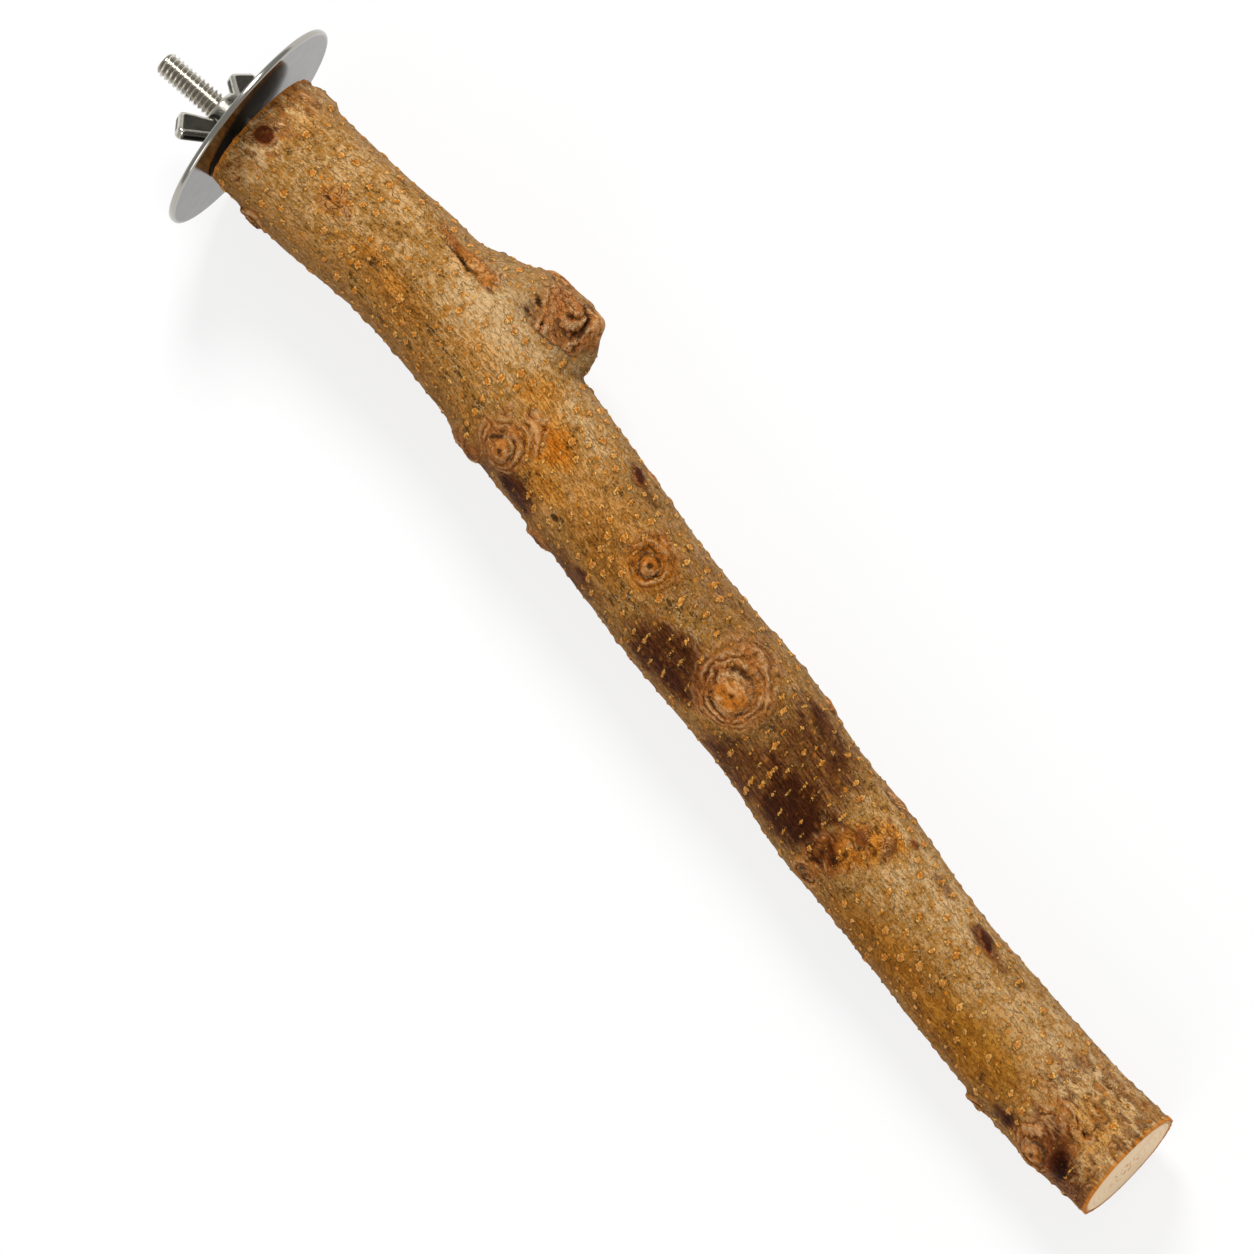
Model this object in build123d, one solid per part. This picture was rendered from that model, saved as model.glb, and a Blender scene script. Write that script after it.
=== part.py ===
from build123d import *
import math
import os

# A branch perch that is clamped to a cage wall by its bolt.
# All lengths are in millimetres. The bolt's axis is X, pointing into the branch. The origin is where that
# axis meets the sawn end, so the hardware lies on the negative side. Z is up.

# Branch
BRANCH_LENGTH = 304.5
BRANCH_GIRTH = 30.0
BRANCH_DRIFT = 47.0
BRANCH_DROP = 11.5
BARK_THICKNESS = 1.2

# Saw cuts at the two ends, in degrees from square to the bolt
END_CUT_YAW = -2.4
END_CUT_PITCH = -1.6
FAR_CUT_YAW = -1.9
FAR_CUT_PITCH = -0.8

# Stations along the branch. Shares of the length, of the drift sideways, of the drop,
# and of the girth for the width and the height of the section.
STATION_SHARES = [
    (-0.030, -0.030, 0.000, 1.095, 1.050),
    (0.026, -0.045, 0.000, 1.035, 1.000),
    (0.080, -0.027, 0.002, 1.030, 1.010),
    (0.140, -0.023, 0.010, 1.025, 1.000),
    (0.190, 0.000, 0.030, 1.050, 1.030),
    (0.240, 0.056, 0.060, 1.060, 1.045),
    (0.290, 0.134, 0.100, 1.040, 1.030),
    (0.340, 0.202, 0.150, 1.012, 1.000),
    (0.400, 0.285, 0.220, 0.988, 0.990),
    (0.470, 0.389, 0.320, 0.966, 0.975),
    (0.550, 0.471, 0.440, 0.972, 0.965),
    (0.630, 0.592, 0.570, 0.978, 0.970),
    (0.690, 0.671, 0.670, 0.976, 0.985),
    (0.760, 0.767, 0.780, 0.940, 0.950),
    (0.830, 0.852, 0.870, 0.940, 0.945),
    (0.900, 0.924, 0.940, 0.975, 0.960),
    (0.960, 0.966, 0.980, 0.970, 0.970),
    (1.030, 1.030, 1.000, 0.968, 0.950),
]

# Stub of a sawn-off side branch, healed over. It leans up from the side, in degrees.
STUB_PLACE = 79.5
STUB_REACH = 25.5
STUB_LENGTH = 46.0
STUB_DEPTH = 26.0
STUB_LEAN = 14.0
STUB_ROUNDING = 2.4
# Levels up the stub. Shares of the reach, of the length for the shift along the branch,
# and of the length and the depth of the section.
STUB_LEVEL_SHARES = [
    (0.10, -0.220, 1.06, 1.00),
    (0.48, -0.225, 1.09, 0.96),
    (0.71, -0.160, 0.92, 0.90),
    (0.87, -0.055, 0.61, 0.79),
    (1.00, 0.025, 0.39, 0.66),
]

# Knots, each a low collar with sloping sides on the bark
KNOT_HEIGHT = 1.1
KNOT_SINK = 5.0
KNOT_SLOPE_SHARE = 0.6
# Shares of the length, of a turn round the branch from +Y towards +Z, and of the girth for the radius
KNOT_SHARES = [
    (0.024, 0.030, 0.14),
    (0.041, 0.475, 0.12),
    (0.276, 0.465, 0.17),
    (0.302, 0.350, 0.16),
    (0.362, 0.480, 0.12),
    (0.453, 0.219, 0.14),
    (0.561, 0.260, 0.28),
    (0.704, 0.310, 0.14),
    (0.704, 0.190, 0.15),
    (0.884, 0.480, 0.10),
    (0.948, 0.395, 0.20),
]

# Hanger bolt: machine thread outside, a plain waist, and a wood-screw end in the branch
BOLT_DIAMETER = 6.2
BOLT_OUTSIDE = 27.1
BOLT_INSIDE = 36.4
BOLT_CHAMFER = 0.9
MACHINE_RUN_IN = 2.0
WAIST_DIAMETER = 5.5
WAIST_LENGTH = 6.0
POINT_LENGTH = 9.0
BOLT_CLEARANCE = 0.05

# Washer, loose on the bolt: it sits to one side and leans, in degrees from square to the bolt
WASHER_DIAMETER = 55.0
WASHER_HOLE = 9.4
WASHER_THICKNESS = 1.5
WASHER_ROUNDING = 0.6
WASHER_GAP = 1.7
WASHER_SHIFT = 1.4
WASHER_YAW = 2.3
WASHER_PITCH = -0.7

# Wing nut, turned on the bolt, in degrees from wings level
NUT_HEIGHT = 7.1
NUT_BASE_DIAMETER = 12.0
NUT_TOP_DIAMETER = 9.8
NUT_EDGE = 0.5
NUT_CLEARANCE = 0.06
NUT_SEAT_CLEARANCE = 0.1
NUT_TURN = 48.5
WING_SPAN = 33.4
WING_RISE = 11.7
WING_THICKNESS = 3.1
WING_ROUNDING = 1.4
WING_EDGE = 0.7
# Corners of one wing, from its root up the outside and back. Shares of the half span and of the rise.
WING_ROOT_SHARES = [(0.255, 0.39), (0.255, 0.04), (0.475, 0.04)]
WING_TIP_SHARES = [(1.00, 0.67), (0.63, 1.00)]

# How far a cut reaches past what it cuts
OVERRUN = 4.0


def station_at(along_share):
    """Middle, half width and half height of the branch, between the two nearest stations."""
    for before, after in zip(STATION_SHARES, STATION_SHARES[1:]):
        if along_share <= after[0]:
            break
    step = (along_share - before[0]) / (after[0] - before[0])
    drift, drop, width, height = [
        low + step * (high - low) for low, high in zip(before[1:], after[1:])
    ]
    middle = Vector(BRANCH_LENGTH * along_share, -BRANCH_DRIFT * drift, -BRANCH_DROP * drop)
    return middle, BRANCH_GIRTH * width / 2, BRANCH_GIRTH * height / 2


def trunk(skin):
    """The branch's stem, uncut at its ends, with a skin of the given thickness taken off."""
    sections = []
    for along_share, *_ in STATION_SHARES:
        middle, half_width, half_height = station_at(along_share)
        across = Plane(middle, x_dir=(0, 1, 0), z_dir=(1, 0, 0))
        sections.append(across * Ellipse(half_width - skin, half_height - skin))
    return loft(sections)


def stub(skin):
    """The side branch's stub, a mound on the stem, with a skin of the given thickness taken off."""
    middle, _, _ = station_at(STUB_PLACE / BRANCH_LENGTH)
    foot = Plane(middle, x_dir=(1, 0, 0), z_dir=(0, 1, 0)).rotated((STUB_LEAN, 0, 0))
    sections = []
    for level_share, shift_share, length_share, depth_share in STUB_LEVEL_SHARES:
        half_length = STUB_LENGTH * length_share / 2 - skin
        half_depth = STUB_DEPTH * depth_share / 2 - skin
        place = Pos(STUB_LENGTH * shift_share, 0, (STUB_REACH - skin) * level_share)
        sections.append(foot * place * Ellipse(half_length, half_depth))
    mound = loft(sections)
    top = mound.faces().filter_by(GeomType.PLANE).sort_by(Axis.Y)[-1]
    return fillet(top.edges(), STUB_ROUNDING)


def knots():
    """The knots' collars: cones that stand on the stem's surface, cut to a stem of their own height."""
    grown_stem = trunk(-KNOT_HEIGHT)
    height = KNOT_SINK + 2 * KNOT_HEIGHT
    collars = []
    for along_share, turn_share, radius_share in KNOT_SHARES:
        middle, half_width, half_height = station_at(along_share)
        turn = math.tau * turn_share
        outwards = Vector(0, math.cos(turn), math.sin(turn))
        surface = middle + Vector(0, half_width * outwards.Y, half_height * outwards.Z)
        radius = BRANCH_GIRTH * radius_share
        cone = Cone(
            radius + KNOT_SINK * KNOT_SLOPE_SHARE,
            radius - 2 * KNOT_HEIGHT * KNOT_SLOPE_SHARE,
            height,
            align=(Align.CENTER, Align.CENTER, Align.MIN),
        )
        collars.append(grown_stem & Plane(surface - outwards * KNOT_SINK, z_dir=outwards) * cone)
    return collars


def leaning_plane(origin, yaw, pitch):
    """A plane square to the bolt and facing the branch, then turned by two angles."""
    across = Vector(0, 1, 0).rotate(Axis.Z, yaw)
    normal = Vector(1, 0, 0).rotate(Axis.Y, pitch).rotate(Axis.Z, yaw)
    return Plane(origin, x_dir=across, z_dir=normal)


def sawn(body):
    """The branch with both its ends sawn off."""
    far_middle, _, _ = station_at(1)
    near_cut = leaning_plane((0, 0, 0), END_CUT_YAW, END_CUT_PITCH)
    far_cut = leaning_plane(far_middle, FAR_CUT_YAW, FAR_CUT_PITCH)
    return split(split(body, near_cut, Keep.TOP), far_cut, Keep.BOTTOM)


def bolt(clearance):
    """The hanger bolt without its threads, grown by a clearance all round."""
    radius = BOLT_DIAMETER / 2 + clearance
    waist = WAIST_DIAMETER / 2 + clearance
    tip = -BOLT_OUTSIDE - clearance
    waist_start = MACHINE_RUN_IN + clearance
    waist_end = MACHINE_RUN_IN + WAIST_LENGTH - clearance
    point = BOLT_INSIDE + clearance
    outline = Polyline(
        (tip, 0),
        (tip, radius - BOLT_CHAMFER),
        (tip + BOLT_CHAMFER, radius),
        (waist_start, radius),
        (waist_start, waist),
        (waist_end, waist),
        (waist_end, radius),
        (point - POINT_LENGTH, radius),
        (point, 0),
        close=True,
    )
    return revolve(make_face(outline), Axis.X)


def washer_face():
    """The washer's face on the branch's side."""
    return leaning_plane((-WASHER_GAP, 0, 0), WASHER_YAW, WASHER_PITCH)


def washer():
    """The washer, with its rim rounded on both sides, leaning as it hangs on the bolt."""
    disc = Cylinder(
        WASHER_DIAMETER / 2, WASHER_THICKNESS, align=(Align.CENTER, Align.CENTER, Align.MAX)
    )
    disc = fillet(disc.edges(), WASHER_ROUNDING)
    hole = Cylinder(WASHER_HOLE / 2, 2 * WASHER_THICKNESS + OVERRUN)
    return washer_face() * Pos(WASHER_SHIFT, 0, 0) * (disc - hole)


def wing():
    """One wing, flat and round-edged, running from inside the hub up and outwards."""
    half_span = WING_SPAN / 2
    corners = [(half_span * x, WING_RISE * z) for x, z in WING_ROOT_SHARES + WING_TIP_SHARES]
    outline = make_face(Polyline(*corners, close=True))
    tips = outline.vertices().sort_by(Axis.X)[-len(WING_TIP_SHARES) :]
    outline = fillet(tips, WING_ROUNDING)
    blade = extrude(Plane.XZ * outline, WING_THICKNESS / 2, both=True)
    rims = blade.edges().filter_by(Axis.Y, reverse=True)
    return fillet(rims, WING_EDGE)


def wing_nut():
    """The wing nut with a plain bore for its thread, its base resting on the high side of the washer."""
    hub = Cone(
        NUT_BASE_DIAMETER / 2,
        NUT_TOP_DIAMETER / 2,
        NUT_HEIGHT,
        align=(Align.CENTER, Align.CENTER, Align.MIN),
    )
    hub = fillet(hub.edges().sort_by(Axis.Z)[-1], NUT_EDGE)
    right = wing()
    left = mirror(right, Plane.YZ)
    bore = Cylinder(BOLT_DIAMETER / 2 + NUT_CLEARANCE, 2 * NUT_HEIGHT + OVERRUN)
    nut = hub + right + left - bore
    lean = math.radians(washer_face().z_dir.get_angle(Vector(1, 0, 0)))
    washer_back = WASHER_GAP + WASHER_THICKNESS / math.cos(lean)
    lift = NUT_BASE_DIAMETER / 2 * math.tan(lean) + NUT_SEAT_CLEARANCE
    turn = math.radians(NUT_TURN)
    seat = Plane(
        (-washer_back - lift, 0, 0),
        x_dir=(0, math.cos(turn), -math.sin(turn)),
        z_dir=(-1, 0, 0),
    )
    return seat * nut


wood_blank = trunk(BARK_THICKNESS) + stub(BARK_THICKNESS)
whole_blank = trunk(0) + stub(0) + knots()

os.makedirs("parts", exist_ok=True)
export_step(sawn(wood_blank) - bolt(BOLT_CLEARANCE), "parts/branch_wood.step")
export_step(sawn(whole_blank - wood_blank), "parts/bark.step")
export_step(bolt(0), "parts/hanger_bolt.step")
export_step(washer(), "parts/washer.step")
export_step(wing_nut(), "parts/wing_nut.step")
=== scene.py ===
"""Looks of a natural bird perch: a branch in its bark, a hanger bolt, a large washer and a wing nut."""
import math
import random

import bmesh
import bpy
import numpy as np
from bpy.props import FloatProperty, FloatVectorProperty, IntProperty, PointerProperty
from mathutils import Matrix, Vector, noise
from mathutils.kdtree import KDTree


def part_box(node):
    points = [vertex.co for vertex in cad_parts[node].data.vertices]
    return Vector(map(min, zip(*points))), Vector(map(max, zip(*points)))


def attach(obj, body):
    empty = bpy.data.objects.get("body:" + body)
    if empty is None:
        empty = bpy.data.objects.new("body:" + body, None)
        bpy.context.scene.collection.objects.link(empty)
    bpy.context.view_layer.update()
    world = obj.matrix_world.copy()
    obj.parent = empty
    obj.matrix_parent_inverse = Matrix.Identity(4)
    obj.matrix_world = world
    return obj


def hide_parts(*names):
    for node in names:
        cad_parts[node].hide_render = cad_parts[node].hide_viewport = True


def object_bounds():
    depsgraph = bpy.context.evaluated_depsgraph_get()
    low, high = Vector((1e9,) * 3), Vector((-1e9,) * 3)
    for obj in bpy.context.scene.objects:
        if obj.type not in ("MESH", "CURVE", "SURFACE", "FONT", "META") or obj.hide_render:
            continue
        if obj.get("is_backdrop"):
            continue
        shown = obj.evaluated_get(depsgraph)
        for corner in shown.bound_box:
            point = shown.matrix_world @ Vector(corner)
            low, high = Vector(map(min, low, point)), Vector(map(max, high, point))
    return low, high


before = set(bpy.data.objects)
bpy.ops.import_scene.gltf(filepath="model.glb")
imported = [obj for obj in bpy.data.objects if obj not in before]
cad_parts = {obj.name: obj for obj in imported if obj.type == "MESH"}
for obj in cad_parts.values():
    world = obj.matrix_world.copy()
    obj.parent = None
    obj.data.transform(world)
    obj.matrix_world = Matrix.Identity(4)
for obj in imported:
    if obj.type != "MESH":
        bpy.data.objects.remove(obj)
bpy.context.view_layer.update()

bl_info = {
    "name": "Bird perch",
    "version": (1, 0, 0),
    "blender": (4, 5, 0),
    "location": "View3D > Sidebar > Perch",
    "description": "Dresses a natural wood bird perch and sets its studio",
    "category": "Object",
}

MM = 0.001
ALONG = Vector((1, 0, 0))
FULL_TURN = 2 * math.pi
WHITE = (1.0, 1.0, 1.0, 1.0)

# Lengths below are in millimetres, and MM turns them into metres.
# FAR_AWAY is longer than anything on the perch.
MERGE_DISTANCE = 0.001
FAR_AWAY = 1000.0

# A sawn face looks along the branch within this cosine, and its slant stays within this depth
SAW_FACING = 0.98
SAW_DEPTH = 1.9

# The branch's line: share of its length, share of its drift towards -Y, share of its drop towards -Z
BRANCH_LENGTH = 304.5
BRANCH_DRIFT = 47.0
BRANCH_DROP = 11.5
LINE_SHARES = [
    (0.00, -0.04, 0.00),
    (0.14, -0.02, 0.01),
    (0.24, 0.06, 0.06),
    (0.34, 0.20, 0.15),
    (0.47, 0.39, 0.32),
    (0.55, 0.47, 0.44),
    (0.69, 0.67, 0.67),
    (0.83, 0.85, 0.87),
    (1.00, 1.00, 1.00),
]

# Places on the bark are a share of the branch's length and a share of a turn from +Y over the top.
# Knots: place, radius of the rings, radius of the bud, rise of the bud, how dark the bud is,
# how far the rings lean over the top
KNOTS = [
    (0.276, 0.465, 4.0, 1.6, 0.25, 0.3, 0.0),
    (0.302, 0.344, 5.6, 2.7, 0.55, 0.1, 0.2),
    (0.362, 0.480, 3.0, 1.2, 0.20, 0.4, 0.0),
    (0.450, 0.225, 4.6, 2.4, 0.35, 0.2, 0.3),
    (0.558, 0.270, 8.0, 4.3, 0.60, 0.0, 0.4),
    (0.678, 0.414, 3.2, 1.5, 0.30, 0.3, 0.0),
    (0.884, 0.480, 3.0, 1.3, 0.20, 0.3, 0.0),
    (0.941, 0.400, 5.6, 3.0, 0.50, 0.2, 0.2),
    (0.041, 0.475, 3.6, 1.4, 0.20, 0.3, 0.0),
    (0.170, 0.700, 4.0, 1.7, 0.30, 0.5, 0.1),
    (0.470, 0.640, 4.6, 2.0, 0.35, 0.2, 0.2),
    (0.640, 0.860, 3.4, 1.5, 0.25, 0.6, 0.0),
    (0.800, 0.720, 4.4, 1.8, 0.35, 0.3, 0.2),
]

# Scars: place, half length, half width, slant in degrees, rise, how dark the middle is
SCARS = [
    (0.010, 0.243, 2.5, 2.3, 0, 0.25, 0.85),
    (0.016, 0.222, 2.4, 0.4, -75, -0.30, 0.5),
    (0.018, 0.100, 3.4, 1.2, 10, 0.40, 0.1),
    (0.087, 0.252, 2.4, 1.8, -20, 0.90, 0.00),
    (0.084, 0.256, 0.9, 0.7, 0, -0.90, 1.0),
    (0.098, 0.235, 3.4, 0.9, -35, 0.40, 0.0),
    (0.175, 0.118, 4.6, 1.4, -22, 0.45, 0.40),
    (0.196, 0.138, 5.2, 1.8, -12, 0.60, 0.20),
    (0.213, 0.147, 2.2, 2.0, 0, 0.65, 0.0),
    (0.185, 0.140, 4.0, 0.4, -20, -0.45, 0.8),
    (0.243, 0.012, 3.4, 3.0, 0, 0.70, 0.0),
    (0.299, 0.040, 4.6, 3.2, -51, 1.00, 0.0),
    (0.290, 0.060, 5.4, 0.7, -51, -0.85, 1.0),
    (0.255, 0.117, 2.0, 0.7, -35, -0.45, 0.9),
    (0.318, 0.250, 4.4, 2.0, -40, 0.55, 0.1),
    (0.305, 0.290, 2.4, 1.6, 20, 0.45, 0.2),
    (0.395, 0.090, 2.6, 1.6, -49, 0.25, 0.8),
    (0.401, 0.020, 2.2, 2.0, 0, 0.45, 0.1),
    (0.364, 0.350, 1.5, 1.0, 0, -0.30, 0.9),
    (0.444, 0.160, 3.0, 1.4, -60, 0.35, 0.1),
    (0.573, 0.215, 3.4, 2.6, -30, 0.45, 0.2),
    (0.613, 0.010, 3.0, 2.6, 0, 0.50, 0.1),
    (0.695, 0.227, 2.3, 1.6, -30, 0.60, 0.6),
    (0.700, 0.248, 1.3, 1.1, 0, 0.55, 0.0),
    (0.720, 0.179, 1.9, 1.3, -20, 0.55, 0.4),
    (0.729, 0.108, 1.4, 1.1, 0, 0.35, 0.6),
    (0.697, 0.028, 3.0, 2.8, 0, 0.50, 0.1),
    (0.818, 0.110, 3.8, 1.5, -35, 0.20, 0.8),
    (0.936, 0.322, 2.6, 1.3, -50, 0.35, 0.0),
    (0.250, 0.780, 5.6, 1.3, 14, 0.40, 0.2),
    (0.560, 0.760, 3.0, 1.2, -40, 0.25, 0.8),
    (0.900, 0.640, 4.0, 1.2, 20, 0.30, 0.4),
]

# Zones of colour and of form: place, half length, half width, slant in degrees, strength
STAINS = [
    (0.326, 0.410, 6.5, 4.6, -20, 1.00),
    (0.406, 0.399, 3.0, 2.2, 0, 0.80),
    (0.490, 0.345, 14.0, 9.0, -8, 0.60),
    (0.615, 0.230, 16.0, 14.0, 0, 0.50),
    (0.683, 0.331, 4.4, 3.2, 0, 0.95),
    (0.963, 0.357, 8.5, 5.6, -49, 1.05),
    (0.908, 0.400, 4.0, 3.0, 0, 0.85),
    (0.975, 0.430, 9.0, 6.0, 0, 0.80),
    (0.290, 0.455, 7.0, 5.0, 0, 0.60),
    (0.395, 0.440, 11.0, 5.0, 0, 0.60),
    (0.590, 0.380, 13.0, 8.0, 0, 0.75),
    (0.258, 0.125, 3.4, 2.6, 20, 0.50),
    (0.290, 0.090, 5.0, 2.4, -30, 0.50),
    (0.395, 0.090, 4.0, 2.6, -20, 0.95),
    (0.415, 0.100, 3.0, 2.0, 0, 0.60),
    (0.766, 0.100, 4.0, 2.2, 0, 0.60),
    (0.816, 0.112, 5.4, 2.6, -15, 1.00),
    (0.838, 0.125, 2.8, 2.0, 0, 0.60),
    (0.857, 0.120, 2.4, 2.0, 0, 0.50),
    (0.505, 0.130, 24.0, 10.0, 0, 0.40),
    (0.420, 0.080, 14.0, 8.0, 0, 0.30),
    (0.350, 0.700, 9.0, 8.0, 0, 0.80),
    (0.740, 0.640, 11.0, 9.0, 0, 0.90),
    (0.120, 0.560, 6.0, 4.0, 0, 0.60),
    (0.880, 0.880, 8.0, 5.0, 0, 0.70),
]
PATCHES = [
    (0.4975, 0.338, 12.0, 7.8, 0, 1.00),
    (0.528, 0.315, 5.0, 4.0, 0, 0.75),
    (0.634, 0.222, 13.4, 13.0, 0, 0.74),
    (0.640, 0.325, 11.5, 8.4, 0, 1.15),
    (0.628, 0.112, 9.0, 3.4, -6, 0.84),
    (0.648, 0.150, 2.6, 4.0, 0, 0.95),
]
DARKS = [
    (0.968, 0.368, 6.0, 3.0, -49, 0.80),
    (0.928, 0.314, 3.0, 1.6, -40, 0.55),
    (0.911, 0.390, 3.0, 2.2, 0, 0.60),
]
AMBERS = [
    (0.087, 0.252, 4.0, 3.0, -20, 0.90),
    (0.128, 0.290, 4.0, 2.6, 0, 0.60),
    (0.160, 0.305, 5.0, 3.0, 0, 0.70),
    (0.196, 0.138, 7.0, 2.4, -14, 0.90),
    (0.030, 0.150, 5.0, 7.0, 0, 0.35),
    (0.302, 0.190, 6.0, 6.0, 0, 0.70),
    (0.332, 0.240, 8.0, 5.6, -10, 1.35),
    (0.390, 0.235, 18.0, 8.0, 0, 0.45),
    (0.342, 0.315, 9.0, 5.0, 0, 0.80),
    (0.245, 0.255, 8.0, 5.0, 0, 0.45),
    (0.447, 0.215, 7.0, 7.0, 0, 1.20),
    (0.700, 0.245, 15.0, 5.0, 57, 1.10),
    (0.965, 0.230, 9.0, 9.0, 0, 0.55),
    (0.480, 0.600, 24.0, 9.0, 0, 0.40),
    (0.820, 0.800, 16.0, 9.0, 0, 0.35),
]
PALES = [
    (0.060, 0.280, 18.0, 10.0, 0, 0.25),
    (0.110, 0.180, 20.0, 9.0, 0, 0.35),
    (0.238, 0.175, 16.0, 9.0, 0, 1.25),
    (0.330, 0.130, 16.0, 9.0, 0, 0.60),
    (0.352, 0.275, 7.0, 5.0, 0, 0.55),
    (0.475, 0.120, 22.0, 9.0, 0, 0.15),
    (0.770, 0.150, 22.0, 10.0, 0, 0.80),
    (0.900, 0.200, 24.0, 11.0, 0, 0.85),
    (0.985, 0.165, 6.0, 8.0, 0, 0.85),
    (0.420, 0.900, 30.0, 10.0, 0, 0.50),
    (0.800, 0.950, 30.0, 10.0, 0, 0.50),
]
OCHRES = [
    (0.150, 0.320, 16.0, 6.0, 0, 0.60),
    (0.180, 0.330, 10.0, 6.0, 0, 0.60),
    (0.350, 0.264, 9.0, 6.0, -20, 0.35),
    (0.410, 0.300, 16.0, 8.0, 0, 0.60),
    (0.760, 0.370, 26.0, 9.0, 0, 0.80),
    (0.855, 0.345, 22.0, 10.0, 0, 0.95),
    (0.230, 0.420, 28.0, 9.0, 0, 0.55),
    (0.560, 0.430, 30.0, 8.0, 0, 0.40),
    (0.500, 0.620, 40.0, 12.0, 0, 0.40),
    (0.250, 0.640, 30.0, 12.0, 0, 0.30),
]
FLAKY = [
    (0.010, 0.220, 6.0, 20.0, 0, 0.80),
    (0.960, 0.190, 14.0, 13.0, 0, 1.00),
    (0.975, 0.420, 9.0, 14.0, 0, 0.60),
    (0.985, 0.750, 8.0, 26.0, 0, 0.60),
]
WRINKLED = [
    (0.290, 0.250, 6.0, 5.0, 0, 0.80),
    (0.255, 0.145, 6.0, 6.0, 0, 0.60),
    (0.300, 0.140, 5.0, 6.0, 0, 0.70),
]
KNOBBLY = [
    (0.700, 0.245, 17.0, 5.0, 57, 1.00),
    (0.273, 0.055, 9.0, 10.0, 0, 0.90),
    (0.310, 0.270, 6.0, 5.0, 20, 0.80),
    (0.450, 0.200, 6.0, 6.0, 0, 0.60),
    (0.560, 0.225, 5.0, 4.0, 0, 0.70),
]

# How the tables of colour are laid: zone, rows, squareness of a patch,
# reach where it starts, reach where it is full. EDGE_SHARE is how ragged their edges are.
ZONES = [
    ("stain", STAINS, 2.4, 1.40, 0.45),
    ("stain", PATCHES, 2.8, 1.38, 0.50),
    ("dark", DARKS, 2.0, 1.50, 0.20),
    ("pale", PALES, 2.0, 1.60, 0.20),
    ("amber", AMBERS, 2.0, 1.50, 0.30),
    ("ochre", OCHRES, 2.0, 1.60, 0.20),
]
EDGE_SHARE = 0.25

# Ochre bark on the branch's sides, and a painted grey sheen on the sides seen edge-on, by distance from its
# middle line
OCHRE_SIDE = (0.0, 13.0)
OCHRE_SIDE_SHARE = 0.42
SHEEN_SIDE = (11.5, 15.0)

# A patch sits on the outermost vertex within SEAT_REACH of its spoke,
# and covers what lies within PATCH_DEPTH above and below that vertex
SEAT_REACH = 1.2
PATCH_DEPTH = 9.0

# Soft noise that shapes the bark: lengths along X, Y and Z, and where the noise starts
FORM_NOISE = {
    "swell": ((16.0, 9.0, 9.0), 1.0),
    "lump": ((5.0, 3.6, 3.6), 2.0),
    "fibre": ((7.0, 1.1, 1.1), 3.0),
    "fleck": ((1.6, 1.6, 1.6), 4.0),
    "edge": ((3.0, 2.2, 2.2), 5.0),
    "knob": ((2.6, 2.2, 2.2), 6.0),
    "wobble": ((5.0, 5.0, 5.0), 8.0),
    "fine_edge": ((1.2, 1.0, 1.0), 9.0),
    "arc": ((3.4, 3.4, 3.4), 12.0),
}

# Heights of the bark's own forms, lengths of those that repeat, passes that soften its mesh first,
# and how far it may lie under and over its solid
EVEN_RISES = {"swell": 0.22, "lump": 0.20, "fibre": 0.09, "fleck": 0.09}
RING_RISE = 0.26
RING_GAP = 1.7
FLAKE_RISE = 0.30
FLAKE_LENGTHS = (3.0, 1.6, 1.6)
WRINKLE_RISE = 0.14
WRINKLE_GAP = 1.9
KNOB_RISE = 0.42
BARK_PASSES = 3
DEEPEST = 0.85
HIGHEST = 1.10

# Knots: folds of the bud, groove round the bud, collar round the rings, pit in the middle, which is only
# painted shade
PETALS = 5
PETAL_RISE = 0.16
GROOVE_WIDTH = 0.55
GROOVE_DEPTH = 0.42
COLLAR_WIDTH = 0.9
COLLAR_RISE = 0.3
PIT_RADII = (0.9, 0.4)

# The callus over the stub: its place, the radii between which its parts fade in,
# its outer fold and the moat round it
CALLUS_PLACE_SHARES = (0.275, 0.066)
CALLUS_RADII = (8.6, 6.8)
CALLUS_RING_RADII = (7.0, 5.5)
CALLUS_HEART_RADII = (5.5, 3.0)
FOLD_RADIUS = 6.4
FOLD_WIDTH = 0.9
FOLD_RISE = 0.45
MOAT_RADIUS = 8.0
MOAT_WIDTH = 0.8
MOAT_DEPTH = 0.40

# Lenticels: how many places are tried, how many are looked at round a vertex,
# the depths over which one rises, the most depth that is kept for the colours,
# and how much smaller one is on knots and cracks
LENTICEL_TRIES = 14000
NEAREST_COUNT = 4
LENTICEL_RISE = 0.34
LENTICEL_FLANK = (-0.35, 0.35)
LENTICEL_DEPTH = 1.5
LENTICEL_LOSS = 0.6

# Depths behind a saw cut between which its torn orange edge fades in
TORN_EDGE = (1.2, 0.4)

# Soft noise in the bark's colours, from broad patches to grain and fibres: lengths, detail, roughness
BARK_CLOUDS = [
    ((24.0, 10.0, 10.0), 3.0, 0.55),
    ((7.0, 4.0, 4.0), 4.0, 0.55),
    ((2.0, 1.5, 1.5), 3.0, 0.60),
    ((0.62, 0.40, 0.40), 2.0, 0.65),
    ((4.5, 0.5, 0.5), 3.0, 0.60),
]

# Lengths of the bark's spots, lumps, fine cracks and curls, share of the noise that a thin line takes,
# and depth of the fine relief
SPOT_LENGTHS = (2.0, 2.2, 2.2)
NUB_LENGTHS = (1.7, 1.3, 1.3)
CRACKLE_LENGTHS = (3.6, 1.2, 1.2)
CURL_LENGTHS = (2.2, 1.8, 1.8)
LINE_SHARE = 0.030
BARK_RELIEF = 0.80

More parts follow.
